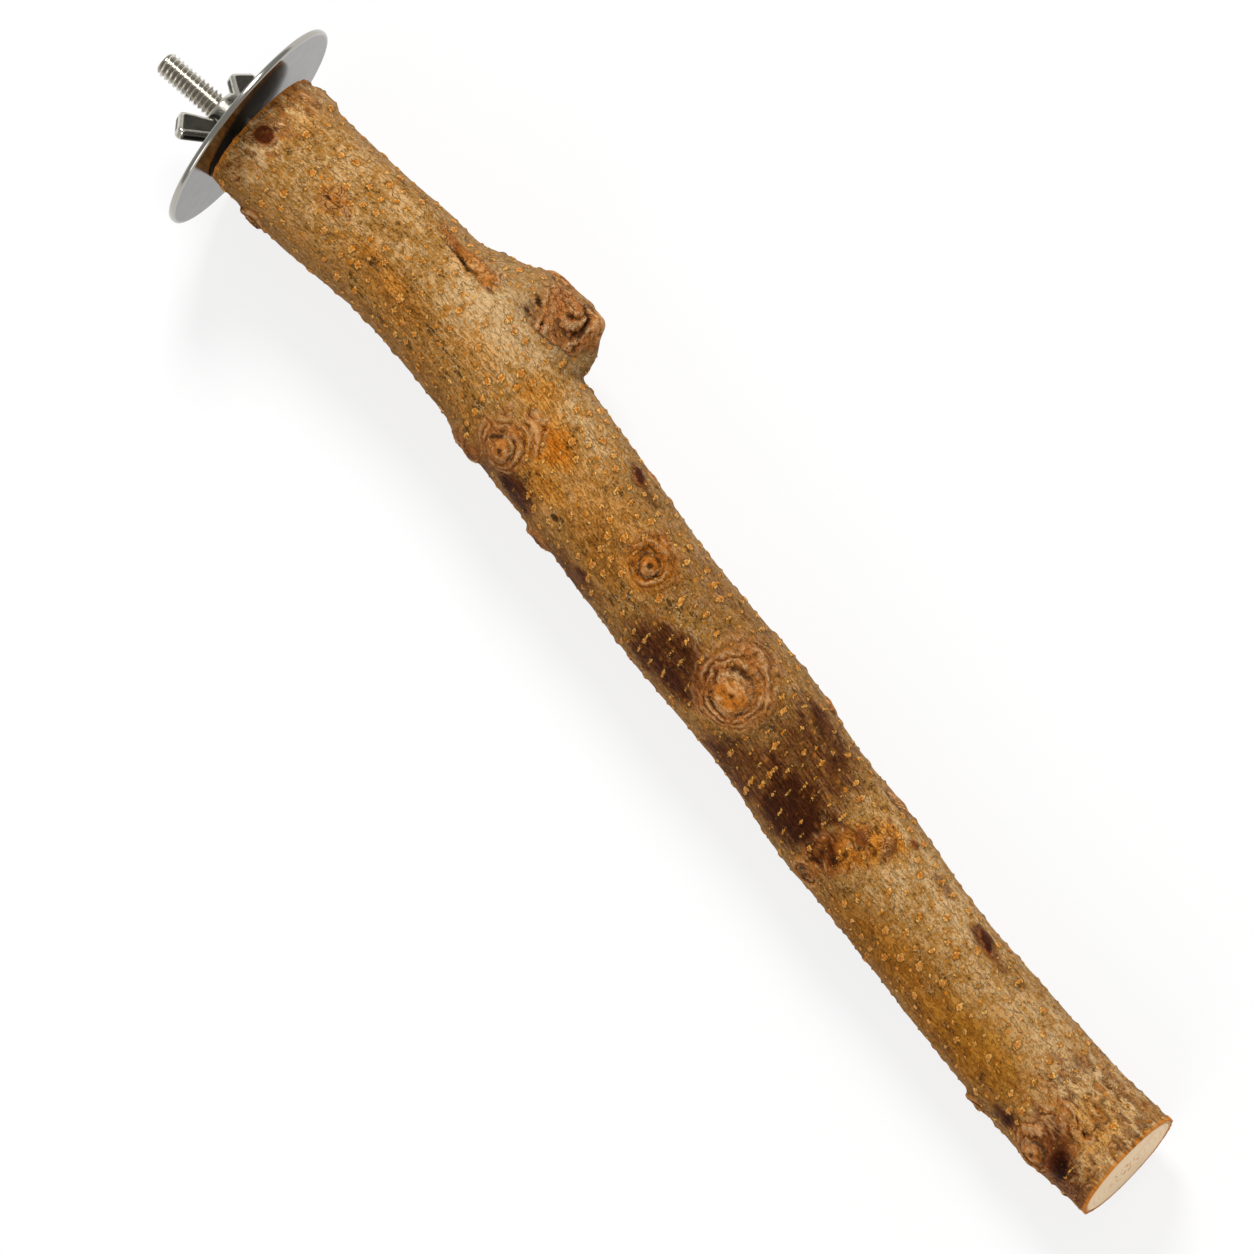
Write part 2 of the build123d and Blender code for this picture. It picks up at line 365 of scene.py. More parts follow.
# Sawn wood: lengths of its patterns, radians of the year rings for each millimetre,
# radii of the pith and of the outer rings
DRIFT_LENGTHS = (6.0, 6.0, 6.0)
GRAIN_LENGTHS = (0.5, 0.5, 0.5)
SAW_LENGTHS = (9.0, 9.0, 0.35)
PITH_LENGTHS = (1.0, 0.9, 2.2)
YEAR_RING_TURN = 3.6
PITH_RADII = (6.4, 2.8)
OUTER_RADII = (11.5, 14.0)
WOOD_RELIEF = 0.12

# Profile of a thread: share of the pitch, share of the depth
THREAD_SHARES = [
    (0.00, 0.00), (0.12, 0.02), (0.30, 0.62), (0.42, 0.94), (0.50, 1.00),
    (0.58, 0.94), (0.70, 0.62), (0.88, 0.02), (1.00, 0.00),
]
THREAD_STEPS = 48

# Bolt: place of the waist, length of the thread's run-out, chamfer of the tip,
# start and point of the wood screw, heights over the roots across which the painted shade in the thread fades
# in
BOLT_WAIST = 5.0
RUN_OUT = 3.0
TIP_CHAMFER = 0.9
TIP_INSET = 0.35
TIP_SLOPE = 1.1
SCREW_GAP = 0.4
SCREW_TAPER = 9.0
SCREW_POINT = 0.15
ROOT_SHADE_HEIGHTS = (0.35, 0.05)
SHARP_DEGREES = 50

# Washer: steps round it and round its edge, how near its rim's vertices lie to their radius,
# and how much its flat faces lead its shading
WASHER_STEPS = 160
ROUNDING_STEPS = 4
RIM_TOLERANCE = 0.1
FLAT_WEIGHT = 100

# Wing nut: passes that soften all of it and the roots of its wings,
# and the radii between which the roots lie
NUT_PASSES = 7
ROOT_PASSES = 10
ROOT_RADII = (4.2, 8.2)

# Steel: lengths and relief of its marks
BOLT_MARK_LENGTHS = (0.25, 3.0, 3.0)
BOLT_RELIEF = 0.02
WASHER_MARK_LENGTHS = (0.5, 0.5, 0.5)
WASHER_RELIEF = 0.006
PLATING_LENGTHS = (5.0, 5.0, 5.0)
GRIT_LENGTHS = (0.35, 0.35, 0.35)
CASTING_LENGTHS = (3.0, 3.0, 3.0)
NUT_RELIEF = 0.03

# Stage, in metres: half the floor's width, share of the floor's own glow, light of the room,
# and the lamps' places from the middle of the view with their widths
FLOOR_SIZE = 12
FLOOR_GLOW_SHARE = 0.78
ROOM_LIGHT = 0.38
LAMPS = {
    "key": ((-0.70, 0.80, 1.15), 0.5),
    "fill": ((0.55, -1.10, 0.80), 1.0),
}

# Width of the camera's sensor, in millimetres
SENSOR_WIDTH = 36


def colour(red, green, blue):
    """A colour in linear light, from the 0 to 255 steps of a paint chart."""
    steps = [step / 255 for step in (red, green, blue)]
    return tuple(s / 12.92 if s <= 0.04045 else ((s + 0.055) / 1.055) ** 2.4 for s in steps) + (1.0,)


def size(name, about, millimetres):
    """A length that a user may change."""
    return FloatProperty(name=name, description=about, default=millimetres * MM, unit="LENGTH", precision=5)


def tint(name, about, red, green, blue):
    """A colour that a user may change."""
    return FloatVectorProperty(
        name=name, description=about, default=colour(red, green, blue), size=4, subtype="COLOR", min=0, max=1
    )


def angle(name, about, degrees):
    """An angle that a user may change."""
    return FloatProperty(name=name, description=about, default=math.radians(degrees), subtype="ANGLE")


def power(name, about, watts):
    """A lamp's power that a user may change."""
    return FloatProperty(name=name, description=about, default=watts, unit="POWER")


class BarkSettings(bpy.types.PropertyGroup):
    """Sizes and colours of the bark."""

    grid: size("Grid", "Spacing of the bark's mesh", 0.65)
    rim_line: size("Rim line", "Width of the orange line round a saw cut", 0.5)
    rim_width: size("Rim width", "Width of the inner bark inside that line", 1.5)
    rim_sink: size("Rim sink", "How far the rim lies under the sawn wood", 0.15)
    edge_inset: size("Edge inset", "Length of the straight edge beside a saw cut", 0.5)
    lenticel_gap: size("Lenticel gap", "Least distance between two lenticels", 3.1)
    lenticel_radius: size("Lenticel radius", "Radius of the largest lenticels", 1.1)
    seed: IntProperty(name="Seed", description="Number that the scatter of lenticels starts from", default=7)
    # Darkest bark tone, also used as painted shade in the hollows, beside the lenticels and in the folds of
    # the buds
    shade: tint("Shade", "Dark hollows between the fibres", 88, 58, 24)
    tan: tint("Tan", "Main colour of the bark", 178, 125, 56)
    # Pale bark, also used as painted highlight on the crests of the relief, of the knot rings and of the
    # callus lumps
    pale: tint("Pale", "Pale crests of the bark", 228, 188, 134)
    # Painted grey sheen along the branch's sides seen edge-on
    grey_sheen: tint("Grey", "Grey bark on the sides", 150, 118, 80)
    ochre: tint("Ochre", "Wash over the olive and ochre bark", 216, 184, 96)
    amber: tint("Amber", "Wash over the orange-brown bark", 255, 222, 152)
    stain: tint("Stain", "Wash over the dark patches", 150, 119, 106)
    deep: tint("Deep stain", "Wash over the darkest parts of the patches", 152, 130, 104)
    orange: tint("Orange", "Orange flecks and scars", 200, 116, 32)
    lenticel: tint("Lenticel", "Lenticels", 218, 130, 30)
    # Painted highlights on the lenticels' grains
    lenticel_highlight: tint("Lenticel light", "Bright grains of the lenticels", 252, 204, 118)
    # Pale folds of the buds and tops of raised scars, painted as their highlights
    bud: tint("Bud", "Pale folds of the buds in the knots", 230, 172, 110)
    callus: tint("Callus", "Reddish bark over knots and scars", 204, 118, 52)
    # Dark cracks, and the painted shade in grooves, pits, moats, troughs and clefts
    crack_and_shade: tint("Crack", "Cracks and pits", 34, 17, 6)
    rim: tint("Rim", "Sawn edge of the bark", 216, 128, 38)
    inner: tint("Inner bark", "Pale inner bark beside the sawn wood", 230, 188, 134)


class WoodSettings(bpy.types.PropertyGroup):
    """Colours of the sawn wood."""

    cream: tint("Cream", "Sawn wood", 249, 220, 180)
    ring: tint("Ring", "Year rings", 228, 188, 138)
    pith: tint("Pith", "Specks along the pith", 202, 122, 52)


class HardwareSettings(bpy.types.PropertyGroup):
    """Sizes and colours of the bolt, the washer and the wing nut."""

    pitch: size("Pitch", "Pitch of the machine thread", 1.27)
    crest: size("Crest radius", "Radius of the machine thread's crests", 3.1)
    root: size("Root radius", "Radius of the machine thread's roots", 2.52)
    wood_pitch: size("Wood pitch", "Pitch of the wood screw", 2.6)
    wood_root: size("Wood root radius", "Radius of the wood screw's core", 2.05)
    washer_hole: size("Washer hole", "Diameter of the washer's hole", 9.4)
    washer_rounding: size("Washer rounding", "Rounding of the washer's outer edge", 0.55)
    nut_grid: size("Nut grid", "Spacing of the wing nut's mesh", 0.21)
    steel: tint("Steel", "Bright steel of the bolt", 222, 217, 206)
    # Painted shade in the roots of the thread
    groove: tint("Groove", "Grime in the roots of the thread", 158, 150, 134)
    satin: tint("Satin", "Satin steel of the washer", 97, 96, 94)
    cast: tint("Cast", "Faces of the cast wing nut", 66, 64, 56)
    # Painted highlights along the wing nut's convex edges
    edge_highlight: tint("Worn", "Worn edges of the wing nut", 206, 202, 190)


class StageSettings(bpy.types.PropertyGroup):
    """The floor, the light and the camera."""

    tilt: angle("Tilt", "Lean of the view from straight down", 9.3)
    roll: angle("Roll", "Turn of the branch in the picture", -40.98)
    frame_width: size("Frame width", "Width of the view at the branch", 285)
    distance: size("Distance", "Distance from the camera to the branch", 5500)
    aim: FloatVectorProperty(
        name="Aim", description="Middle of the view", default=(0.1353, -0.0280, -0.0222), subtype="XYZ",
        unit="LENGTH"
    )
    floor: tint("Floor", "Floor", 250, 250, 250)
    key_power: power("Key power", "Power of the main lamp", 20)
    fill_power: power("Fill power", "Power of the fill lamp", 7)


# Shader maths


class Socket:
    """An output of a finish's nodes, so that maths on it reads as plain sums."""

    def __init__(self, finish, output):
        self.finish = finish
        self.output = output

    def __add__(self, other):
        return self.finish.maths("ADD", self, other)

    def __radd__(self, other):
        return self.finish.maths("ADD", other, self)

    def __sub__(self, other):
        return self.finish.maths("SUBTRACT", self, other)

    def __rsub__(self, other):
        return self.finish.maths("SUBTRACT", other, self)

    def __mul__(self, other):
        return self.finish.maths("MULTIPLY", self, other)

    def __rmul__(self, other):
        return self.finish.maths("MULTIPLY", other, self)


class Finish:
    """The nodes of a material or of the world, under construction."""

    def __init__(self, holder, base=WHITE):
        holder.use_nodes = True
        self.holder = holder
        self.tree = holder.node_tree
        self.shader = next(node for node in self.tree.nodes if node.outputs)
        self.base = tuple(base)

    def node(self, kind, settings, inputs, output=0):
        """A node of any kind: its settings first, then values or links for its sockets."""
        made = self.tree.nodes.new(kind)
        for key, value in settings.items():
            setattr(made, key, value)
        for key, value in inputs.items():
            self.feed(made.inputs[key], value)
        return Socket(self, made.outputs[output])

    def feed(self, socket, value):
        """Links a socket to an output, or gives it a value of its own."""
        if isinstance(value, Socket):
            self.tree.links.new(value.output, socket)
        else:
            socket.default_value = value

    def set(self, **inputs):
        """Feeds the shader's own sockets. A name's underscores stand for spaces."""
        for key, value in inputs.items():
            self.feed(self.shader.inputs[key.replace("_", " ")], value)

    def maths(self, operation, *values):
        """Any sum of numbers."""
        return self.node("ShaderNodeMath", {"operation": operation}, dict(enumerate(values)))

    def vector_maths(self, operation, *vectors, output=0):
        """Any sum of vectors."""
        return self.node("ShaderNodeVectorMath", {"operation": operation}, dict(enumerate(vectors)), output)

    def length(self, vector):
        """How long a vector is."""
        return self.vector_maths("LENGTH", vector, output="Value")

    def value(self, name):
        """A number kept on the piece's vertices."""
        return self.node("ShaderNodeAttribute", {"attribute_name": name}, {}, "Fac")

    def place(self, name):
        """A position kept on the piece's vertices."""
        return self.node("ShaderNodeAttribute", {"attribute_name": name}, {}, "Vector")

    def position(self):
        """Where a point is on the piece, in millimetres."""
        return self.stretched(self.node("ShaderNodeTexCoord", {}, {}, "Object"), (MM, MM, MM))

    def stretched(self, vector, lengths):
        """The vector counted in lengths of its own along each axis."""
        return self.vector_maths("MULTIPLY", vector, tuple(1 / length for length in lengths))

    def cloud(self, vector, lengths, detail=3.0, roughness=0.55):
        """Soft noise from 0 to 1 with patches of about those lengths."""
        vector = self.stretched(vector, lengths)
        inputs = {"Vector": vector, "Scale": 1.0, "Detail": detail, "Roughness": roughness}
        return self.node("ShaderNodeTexNoise", {}, inputs, "Fac")

    def cells(self, vector, lengths):
        """Distances from the middles of cells of about those lengths."""
        inputs = {"Vector": self.stretched(vector, lengths), "Scale": 1.0}
        return self.node("ShaderNodeTexVoronoi", {"feature": "F1"}, inputs, "Distance")

    def step(self, value, low, high):
        """0 at low, 1 at high, smooth between."""
        ends = (low, high, 0.0, 1.0) if low <= high else (high, low, 1.0, 0.0)
        inputs = {"Value": value, **dict(enumerate(ends, 1))}
        return self.node("ShaderNodeMapRange", {"interpolation_type": "SMOOTHSTEP"}, inputs)

    def lines(self, vector, lengths):
        """Thin wandering lines, 1 on the line and 0 beside it."""
        beside = self.maths("ABSOLUTE", self.cloud(vector, lengths, 2.0) - 0.5)
        return self.step(beside, LINE_SHARE, LINE_SHARE * 0.25)

    def relief(self, height, depth):
        """A normal that follows fine heights of up to that depth."""
        inputs = {"Strength": 1.0, "Distance": depth * MM, "Height": height}
        return self.node("ShaderNodeBump", {}, inputs, "Normal")

    def blend(self, share, first, second, kind="MIX"):
        """A colour between two colours."""
        settings = {"data_type": "RGBA", "blend_type": kind, "clamp_factor": True}
        return self.node("ShaderNodeMix", settings, {0: share, 6: first, 7: second}, 2)

    def paint(self, share, over):
        """Covers a share of the colour so far with another colour."""
        self.base = self.blend(share, self.base, over)

    def wash(self, share, over):
        """Lays a share of a thin coloured wash over the colour so far."""
        self.base = self.blend(share, self.base, over, "MULTIPLY")

    def seen_by(self, rays):
        """1 for that kind of rays, 0 for all others."""
        return self.node("ShaderNodeLightPath", {}, {}, "Is " + rays + " Ray")

    def cover(self, share, shader):
        """Shows a share of another shader over the finish's own."""
        own = self.shader.outputs[0]
        end = own.links[0].to_socket
        self.feed(end, self.node("ShaderNodeMixShader", {}, {0: share, 1: Socket(self, own), 2: shader}))

    def done(self):
        """The finished material, with the colour so far on its shader."""
        self.set(Base_Color=self.base)
        return self.holder


# Mesh work


def node_copy(*names):
    """A merged copy of the meshes of some of the frame's solids."""
    copy = bmesh.new()
    for name in names:
        copy.from_mesh(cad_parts[name].data)
    bmesh.ops.remove_doubles(copy, verts=copy.verts, dist=MERGE_DISTANCE * MM)
    return copy


def to_mesh(shape, name):
    """Turns a shape into a smooth mesh."""
    mesh = bpy.data.meshes.new(name)
    shape.to_mesh(mesh)
    shape.free()
    mesh.shade_smooth()
    return mesh


def take_in(shape, mesh):
    """Moves a mesh's faces into a shape."""
    shape.from_mesh(mesh)
    bpy.data.meshes.remove(mesh)
    return shape


def remeshed(shape, grid):
    """The shape with an even mesh of that spacing."""
    mesh = to_mesh(shape, "even_mesh")
    holder = bpy.data.objects.new("even_mesh", mesh)
    bpy.context.scene.collection.objects.link(holder)
    even = holder.modifiers.new("Even mesh", "REMESH")
    even.mode = "VOXEL"
    even.voxel_size = grid
    depsgraph = bpy.context.evaluated_depsgraph_get()
    result = bpy.data.meshes.new_from_object(holder.evaluated_get(depsgraph), depsgraph=depsgraph)
    bpy.data.objects.remove(holder)
    bpy.data.meshes.remove(mesh)
    return take_in(bmesh.new(), result)


def soften(shape, verts, passes):
    """Softens the edges round some vertices a little more with each pass."""
    for _ in range(passes):
        bmesh.ops.smooth_vert(
            shape, verts=verts, factor=0.5, use_axis_x=True, use_axis_y=True, use_axis_z=True
        )


def keep_largest(shape):
    """Deletes all but the largest connected shell."""
    left = set(shape.verts)
    best = set()
    while left:
        found = {left.pop()}
        front = list(found)
        while front:
            near = left.intersection(vert for edge in front.pop().link_edges for vert in edge.verts)
            left -= near
            found |= near
            front.extend(near)
        best = max(best, found, key=len)
    bmesh.ops.delete(shape, geom=[vert for vert in shape.verts if vert not in best], context="VERTS")


def cut_off(shape, place, outward):
    """Cuts the shape at a plane and drops what lies beyond it."""
    everything = list(shape.verts) + list(shape.edges) + list(shape.faces)
    bmesh.ops.bisect_plane(shape, geom=everything, plane_co=place, plane_no=outward, clear_outer=True)


def open_edges(shape, near=lambda point: True):
    """Edges of the shape's open borders with both ends near a place."""
    return [edge for edge in shape.edges if edge.is_boundary and all(near(vert.co) for vert in edge.verts)]


def from_axis(point):
    """A point's distance from the X axis."""
    return math.hypot(point.y, point.z)


def add_piece(name, mesh, material, body, node):
    """Puts a finished mesh into the scene in place of a solid of the frame."""
    if not mesh.polygons:
        raise RuntimeError(name + " has no faces")
    mesh.materials.append(material)
    piece = bpy.data.objects.new(name, mesh)
    bpy.context.scene.collection.objects.link(piece)
    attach(piece, body)
    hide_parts(node)
    return piece


def coordinates(mesh):
    """The mesh's points and normals as arrays, the points in millimetres."""
    points = np.empty(len(mesh.vertices) * 3)
    normals = np.empty(len(mesh.vertices) * 3)
    mesh.vertices.foreach_get("co", points)
    mesh.vertex_normals.foreach_get("vector", normals)
    return points.reshape(-1, 3) / MM, normals.reshape(-1, 3)


def keep_values(mesh, name, values):
    """Keeps a number or a position for each vertex, for the material to read."""
    if values.ndim == 1:
        mesh.attributes.new(name, "FLOAT", "POINT").data.foreach_set("value", values)
    else:
        mesh.attributes.new(name, "FLOAT_VECTOR", "POINT").data.foreach_set("vector", values.ravel())


def smooth_step(values, low, high):
    """0 at low, 1 at high, smooth between."""
    share = np.clip((values - low) / (high - low), 0, 1)
    return share * share * (3 - 2 * share)


def ridge(values, middle, width):
    """1 at the middle, fading to 0 over about that width on both sides."""
    return np.exp(-(((values - middle) / width) ** 2))


def sawn_face(node, direction):
    """Middle and outward normal of the sawn face at a solid's end along a direction."""
    faces = [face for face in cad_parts[node].data.polygons if face.normal.dot(direction) > SAW_FACING]
    end = max(face.center.dot(direction) for face in faces)
    faces = [face for face in faces if face.center.dot(direction) > end - SAW_DEPTH * MM]
    middle = sum((face.center * face.area for face in faces), Vector())
    normal = sum((face.normal * face.area for face in faces), Vector())
    return middle / sum(face.area for face in faces), normal.normalized()


# Bark


class Bark:
    """Heights and colour zones of the bark, worked out for every vertex of its mesh."""

    zone_names = ("stain", "pale", "ochre", "amber", "grey_sheen", "callus", "bud", "dark", "crack_and_shade", "lenticel")

    def __init__(self, mesh, look, ends):
        self.mesh = mesh
        self.look = look
        self.ends = ends
        self.points, self.normals = coordinates(mesh)
        self.straight = self.points - self.line(self.points[:, 0] / BRANCH_LENGTH)
        self.straight[:, 0] = self.points[:, 0]
        self.height = np.zeros(len(self.points))
        self.zones = {name: np.zeros(len(self.points)) for name in self.zone_names}
        self.reach = np.full(len(self.points), FAR_AWAY)
        self.rings = np.zeros(len(self.points))
        self.edge = self.clouds("edge") + 0.5 * self.clouds("fine_edge")
        self.knobs = self.clouds("knob")

    def line(self, shares):
        """Points of the branch's middle line at shares of its length."""
        shares = np.asarray(shares, dtype=float)
        table = np.array(LINE_SHARES)
        drift = np.interp(shares, table[:, 0], table[:, 1]) * -BRANCH_DRIFT
        drop = np.interp(shares, table[:, 0], table[:, 2]) * -BRANCH_DROP
        return np.stack([shares * BRANCH_LENGTH, drift, drop], axis=-1)

    def clouds(self, name):
        """Soft noise from -1 to 1 that follows the branch."""
        lengths, start = FORM_NOISE[name]
        spots = (self.straight / np.array(lengths) + start).tolist()
        return np.array([noise.noise(spot) for spot in spots])

    def patch(self, length_share, turn_share, slant=0.0):
        """Distances of every vertex from a place on the bark, along the branch and across it."""
        turn = FULL_TURN * turn_share
        outward = np.array([0.0, math.cos(turn), math.sin(turn)])
        offset = self.points - self.line(length_share)
        reach = offset @ outward
        aside = np.linalg.norm(offset - np.outer(reach, outward), axis=1)
        nearest = int(np.argmax(np.where(aside < SEAT_REACH, reach, -FAR_AWAY)))
        normal = self.normals[nearest]
        along = np.array(ALONG) - normal * normal[0]
        along /= np.linalg.norm(along)
        across = np.cross(normal, along)
        offset = self.points - self.points[nearest]
        far = np.abs(offset @ normal) > PATCH_DEPTH
        cosine = math.cos(math.radians(slant))
        sine = math.sin(math.radians(slant))
        length = offset @ along
        width = offset @ across
        turned_length = np.where(far, FAR_AWAY, length * cosine + width * sine)
        turned_width = np.where(far, FAR_AWAY, width * cosine - length * sine)
        return turned_length, turned_width

    def zone(self, rows, power=2.6, outer=1.25, inner=0.80):
        """Strength of a table of patches at every vertex, with ragged edges that fade from inner to outer."""
        total = np.zeros(len(self.points))
        for length_share, turn_share, half_length, half_width, slant, strength in rows:
            length, width = self.patch(length_share, turn_share, slant)
            ends = np.abs(length / half_length) ** power
            sides = np.abs(width / half_width) ** power
            reach = (ends + sides) ** (1 / power) + EDGE_SHARE * self.edge
            total = np.maximum(total, strength * smooth_step(reach, outer, inner))
        return total

    def raise_up(self, heights):
        """Adds to the height of every vertex."""
        self.height += heights

    def colour_up(self, name, strength):
        """Strengthens a zone where it is weaker than that."""
        self.zones[name] = np.maximum(self.zones[name], strength)

    def grow(self):
        """The even swell, lumps and fibres of the whole branch."""
        for name, rise in EVEN_RISES.items():
            self.raise_up(rise * self.clouds(name))

    def add_zones(self):
        """Lays the tables of colour, ochre along the sides, and a painted grey sheen on the sides."""
        for name, rows, power, outer, inner in ZONES:
            self.colour_up(name, self.zone(rows, power, outer, inner))
        side = smooth_step(-self.straight[:, 1], *OCHRE_SIDE) * OCHRE_SIDE_SHARE
        self.colour_up("ochre", side * (1 - self.zones["pale"]))
        # Painted sheen: grey where the branch's sides are seen edge-on
        self.colour_up("grey_sheen", smooth_step(np.abs(self.straight[:, 1]), *SHEEN_SIDE))

    def add_rings(self, reach, start):
        """Keeps the count of growth rings from the nearest knot, and gives their waves."""
        rings = (reach - start) / RING_GAP
        self.rings = np.where(reach < self.reach, rings, self.rings)
        self.reach = np.minimum(self.reach, reach)
        return np.cos(FULL_TURN * rings)

    def add_knots(self):
        """Folded buds with a groove, rings and a collar round them, with painted shade in the groove and a
        painted dark pit in the middle.
        """
        wobble = self.clouds("wobble")
        arcs = smooth_step(self.clouds("arc"), -0.35, 0.25)
        for length_share, turn_share, radius, bud, rise, dark, lean in KNOTS:
            length, width = self.patch(length_share, turn_share)
            reach = np.hypot(length, width)
            petals = np.cos(PETALS * np.arctan2(width, length) + 4 * wobble)
            petals = petals * smooth_step(reach, 0.2 * bud, 0.9 * bud)
            leaning = width - lean * np.maximum(reach - bud, 0)
            reach = np.hypot(length + 0.12 * reach, leaning) * (1 + 0.16 * wobble + 0.08 * self.edge)
            inside = smooth_step(reach, radius * 1.5, radius * 0.8)
            beyond = smooth_step(reach, bud * 0.9, bud * 1.1)
            heart = smooth_step(reach, bud * 1.05, bud * 0.75)
            waves = RING_RISE * self.add_rings(reach, bud + 0.2 * RING_GAP) * inside * beyond
            dome = rise * np.clip(1.15 - (reach / bud) ** 2, 0, 1) + PETAL_RISE * petals * heart
            groove = ridge(reach, bud * 1.12, GROOVE_WIDTH) * (0.55 + 0.45 * arcs)
            collar = ridge(reach, radius, COLLAR_WIDTH)
            self.raise_up(dome + waves - GROOVE_DEPTH * groove + COLLAR_RISE * collar * arcs)
            self.raise_up(0.5 * KNOB_RISE * self.knobs * inside * beyond)
            self.colour_up("callus", inside * 0.9)
            # Painted shade in the groove and in the pit in the middle
            self.colour_up("crack_and_shade", 0.85 * groove)
            self.colour_up("bud", heart * (1 - dark))
            self.colour_up("dark", heart * dark)
            self.colour_up("crack_and_shade", smooth_step(reach, *PIT_RADII) * 0.9)

    def add_callus(self):
        """The folded rings that closed over the stub, with painted shade in the moat round it and painted
        highlights on its knobs.
        """
        length, width = self.patch(*CALLUS_PLACE_SHARES)
        reach = np.hypot(length, width * 1.1) * (1 + 0.10 * self.edge + 0.10 * self.knobs)
        inside = smooth_step(reach, *CALLUS_RADII)
        waves = RING_RISE * self.add_rings(reach, 0.3 * RING_GAP) * smooth_step(reach, *CALLUS_RING_RADII)
        fold = ridge(reach, FOLD_RADIUS, FOLD_WIDTH)
        moat = ridge(reach, MOAT_RADIUS, MOAT_WIDTH)
        heart = smooth_step(reach, *CALLUS_HEART_RADII)
        self.raise_up(waves + FOLD_RISE * fold - MOAT_DEPTH * moat)
        self.raise_up(0.6 * KNOB_RISE * self.knobs * inside)
        self.colour_up("callus", inside)
        self.colour_up("bud", 0.55 * heart * smooth_step(self.knobs, -0.1, 0.3))
        self.colour_up("crack_and_shade", 0.35 * moat * smooth_step(self.edge, -0.2, 0.3))

    def add_scars(self):
        """Raised scars with a rim of painted shade and pale painted highlights on top, and sunken cracks
        darkened with painted shade.
        """
        for length_share, turn_share, half_length, half_width, slant, rise, dark in SCARS:
            length, width = self.patch(length_share, turn_share, slant)
            reach = np.hypot(length / half_length, width / half_width) * (1 + 0.22 * self.edge)
            self.raise_up(rise * smooth_step(reach, 1.15, 0.35))
            if rise > 0:
                self.raise_up(0.6 * KNOB_RISE * self.knobs * smooth_step(reach, 1.2, 0.8))
                self.colour_up("callus", 0.9 * smooth_step(reach, 1.5, 0.9))
                self.colour_up("crack_and_shade", (0.42 + 0.10 * dark) * ridge(reach, 1.2, 0.22))
                self.colour_up("bud", 0.85 * (1 - dark) * smooth_step(reach, 1.0, 0.5))
                self.colour_up("dark", dark * smooth_step(reach, 1.2, 0.7))
            else:
                self.colour_up("crack_and_shade", dark * smooth_step(reach, 1.2, 0.6))

    def add_flakes(self):
        """Scaly bark beside the saw cuts, with painted shade in the gaps between the flakes."""
        flaky = self.zone(FLAKY)
        flaky = np.where(flaky > 0.02, flaky, 0)
        lift = np.zeros(len(self.points))
        gap = np.zeros(len(self.points))
        for index in np.nonzero(flaky)[0]:
            spot = self.straight[index] / np.array(FLAKE_LENGTHS) + 0.4 * self.edge[index]
            distances, middles = noise.voronoi(spot.tolist())
            lift[index] = noise.noise(middles[0] * 7.3)
            gap[index] = 1 - min(1.0, (distances[1] - distances[0]) / 0.20)
        self.raise_up(flaky * FLAKE_RISE * (lift - gap))
        self.colour_up("crack_and_shade", 0.35 * gap * flaky)
        self.colour_up("pale", flaky * (0.8 + 1.8 * lift))
        self.colour_up("callus", flaky * (0.25 - 1.6 * lift))

    def add_wrinkles(self):
        """Wrinkles by the stub and the knobbly bands, with painted shade in their troughs."""
        wrinkled = self.zone(WRINKLED)
        waves = np.sin(FULL_TURN * self.straight[:, 0] / WRINKLE_GAP + 2.4 * self.edge)
        self.raise_up(WRINKLE_RISE * waves * wrinkled)
        self.colour_up("crack_and_shade", 0.3 * wrinkled * smooth_step(waves, -0.5, -1.0))
        knobbly = self.zone(KNOBBLY)
        self.raise_up(KNOB_RISE * self.knobs * knobbly)
        self.colour_up("callus", knobbly * smooth_step(self.knobs, -0.1, 0.4) * 0.9)
        self.colour_up("crack_and_shade", knobbly * smooth_step(self.knobs, -0.25, -0.5) * 0.7)

    def scatter(self):
        """Vertices that carry a lenticel, and the lenticels' radii."""
        draw = random.Random(self.look.seed)
        gap = self.look.lenticel_gap / MM
        largest = self.look.lenticel_radius / MM
        taken = {}
        seats = []
        chance = 0.80 - 0.40 * self.zones["pale"] + 0.20 * self.zones["ochre"] - 0.45 * self.zones["stain"]
        chance += 0.5 * self.zones["amber"]
        for index in draw.sample(range(len(self.points)), min(len(self.points), LENTICEL_TRIES)):
            if draw.random() > chance[index]:
                continue
            spot = self.points[index]
            cell = tuple(int(part // gap) for part in spot)
            around = [taken.get((cell[0] + i, cell[1] + j, cell[2] + k), ())
                      for i in (-1, 0, 1) for j in (-1, 0, 1) for k in (-1, 0, 1)]
            if all(np.linalg.norm(spot - other) > gap for group in around for other in group):
                taken.setdefault(cell, []).append(spot)
                seats.append((index, largest * draw.uniform(0.30, 1.0) ** 1.3))
        return np.array([index for index, _ in seats]), np.array([radius for _, radius in seats])

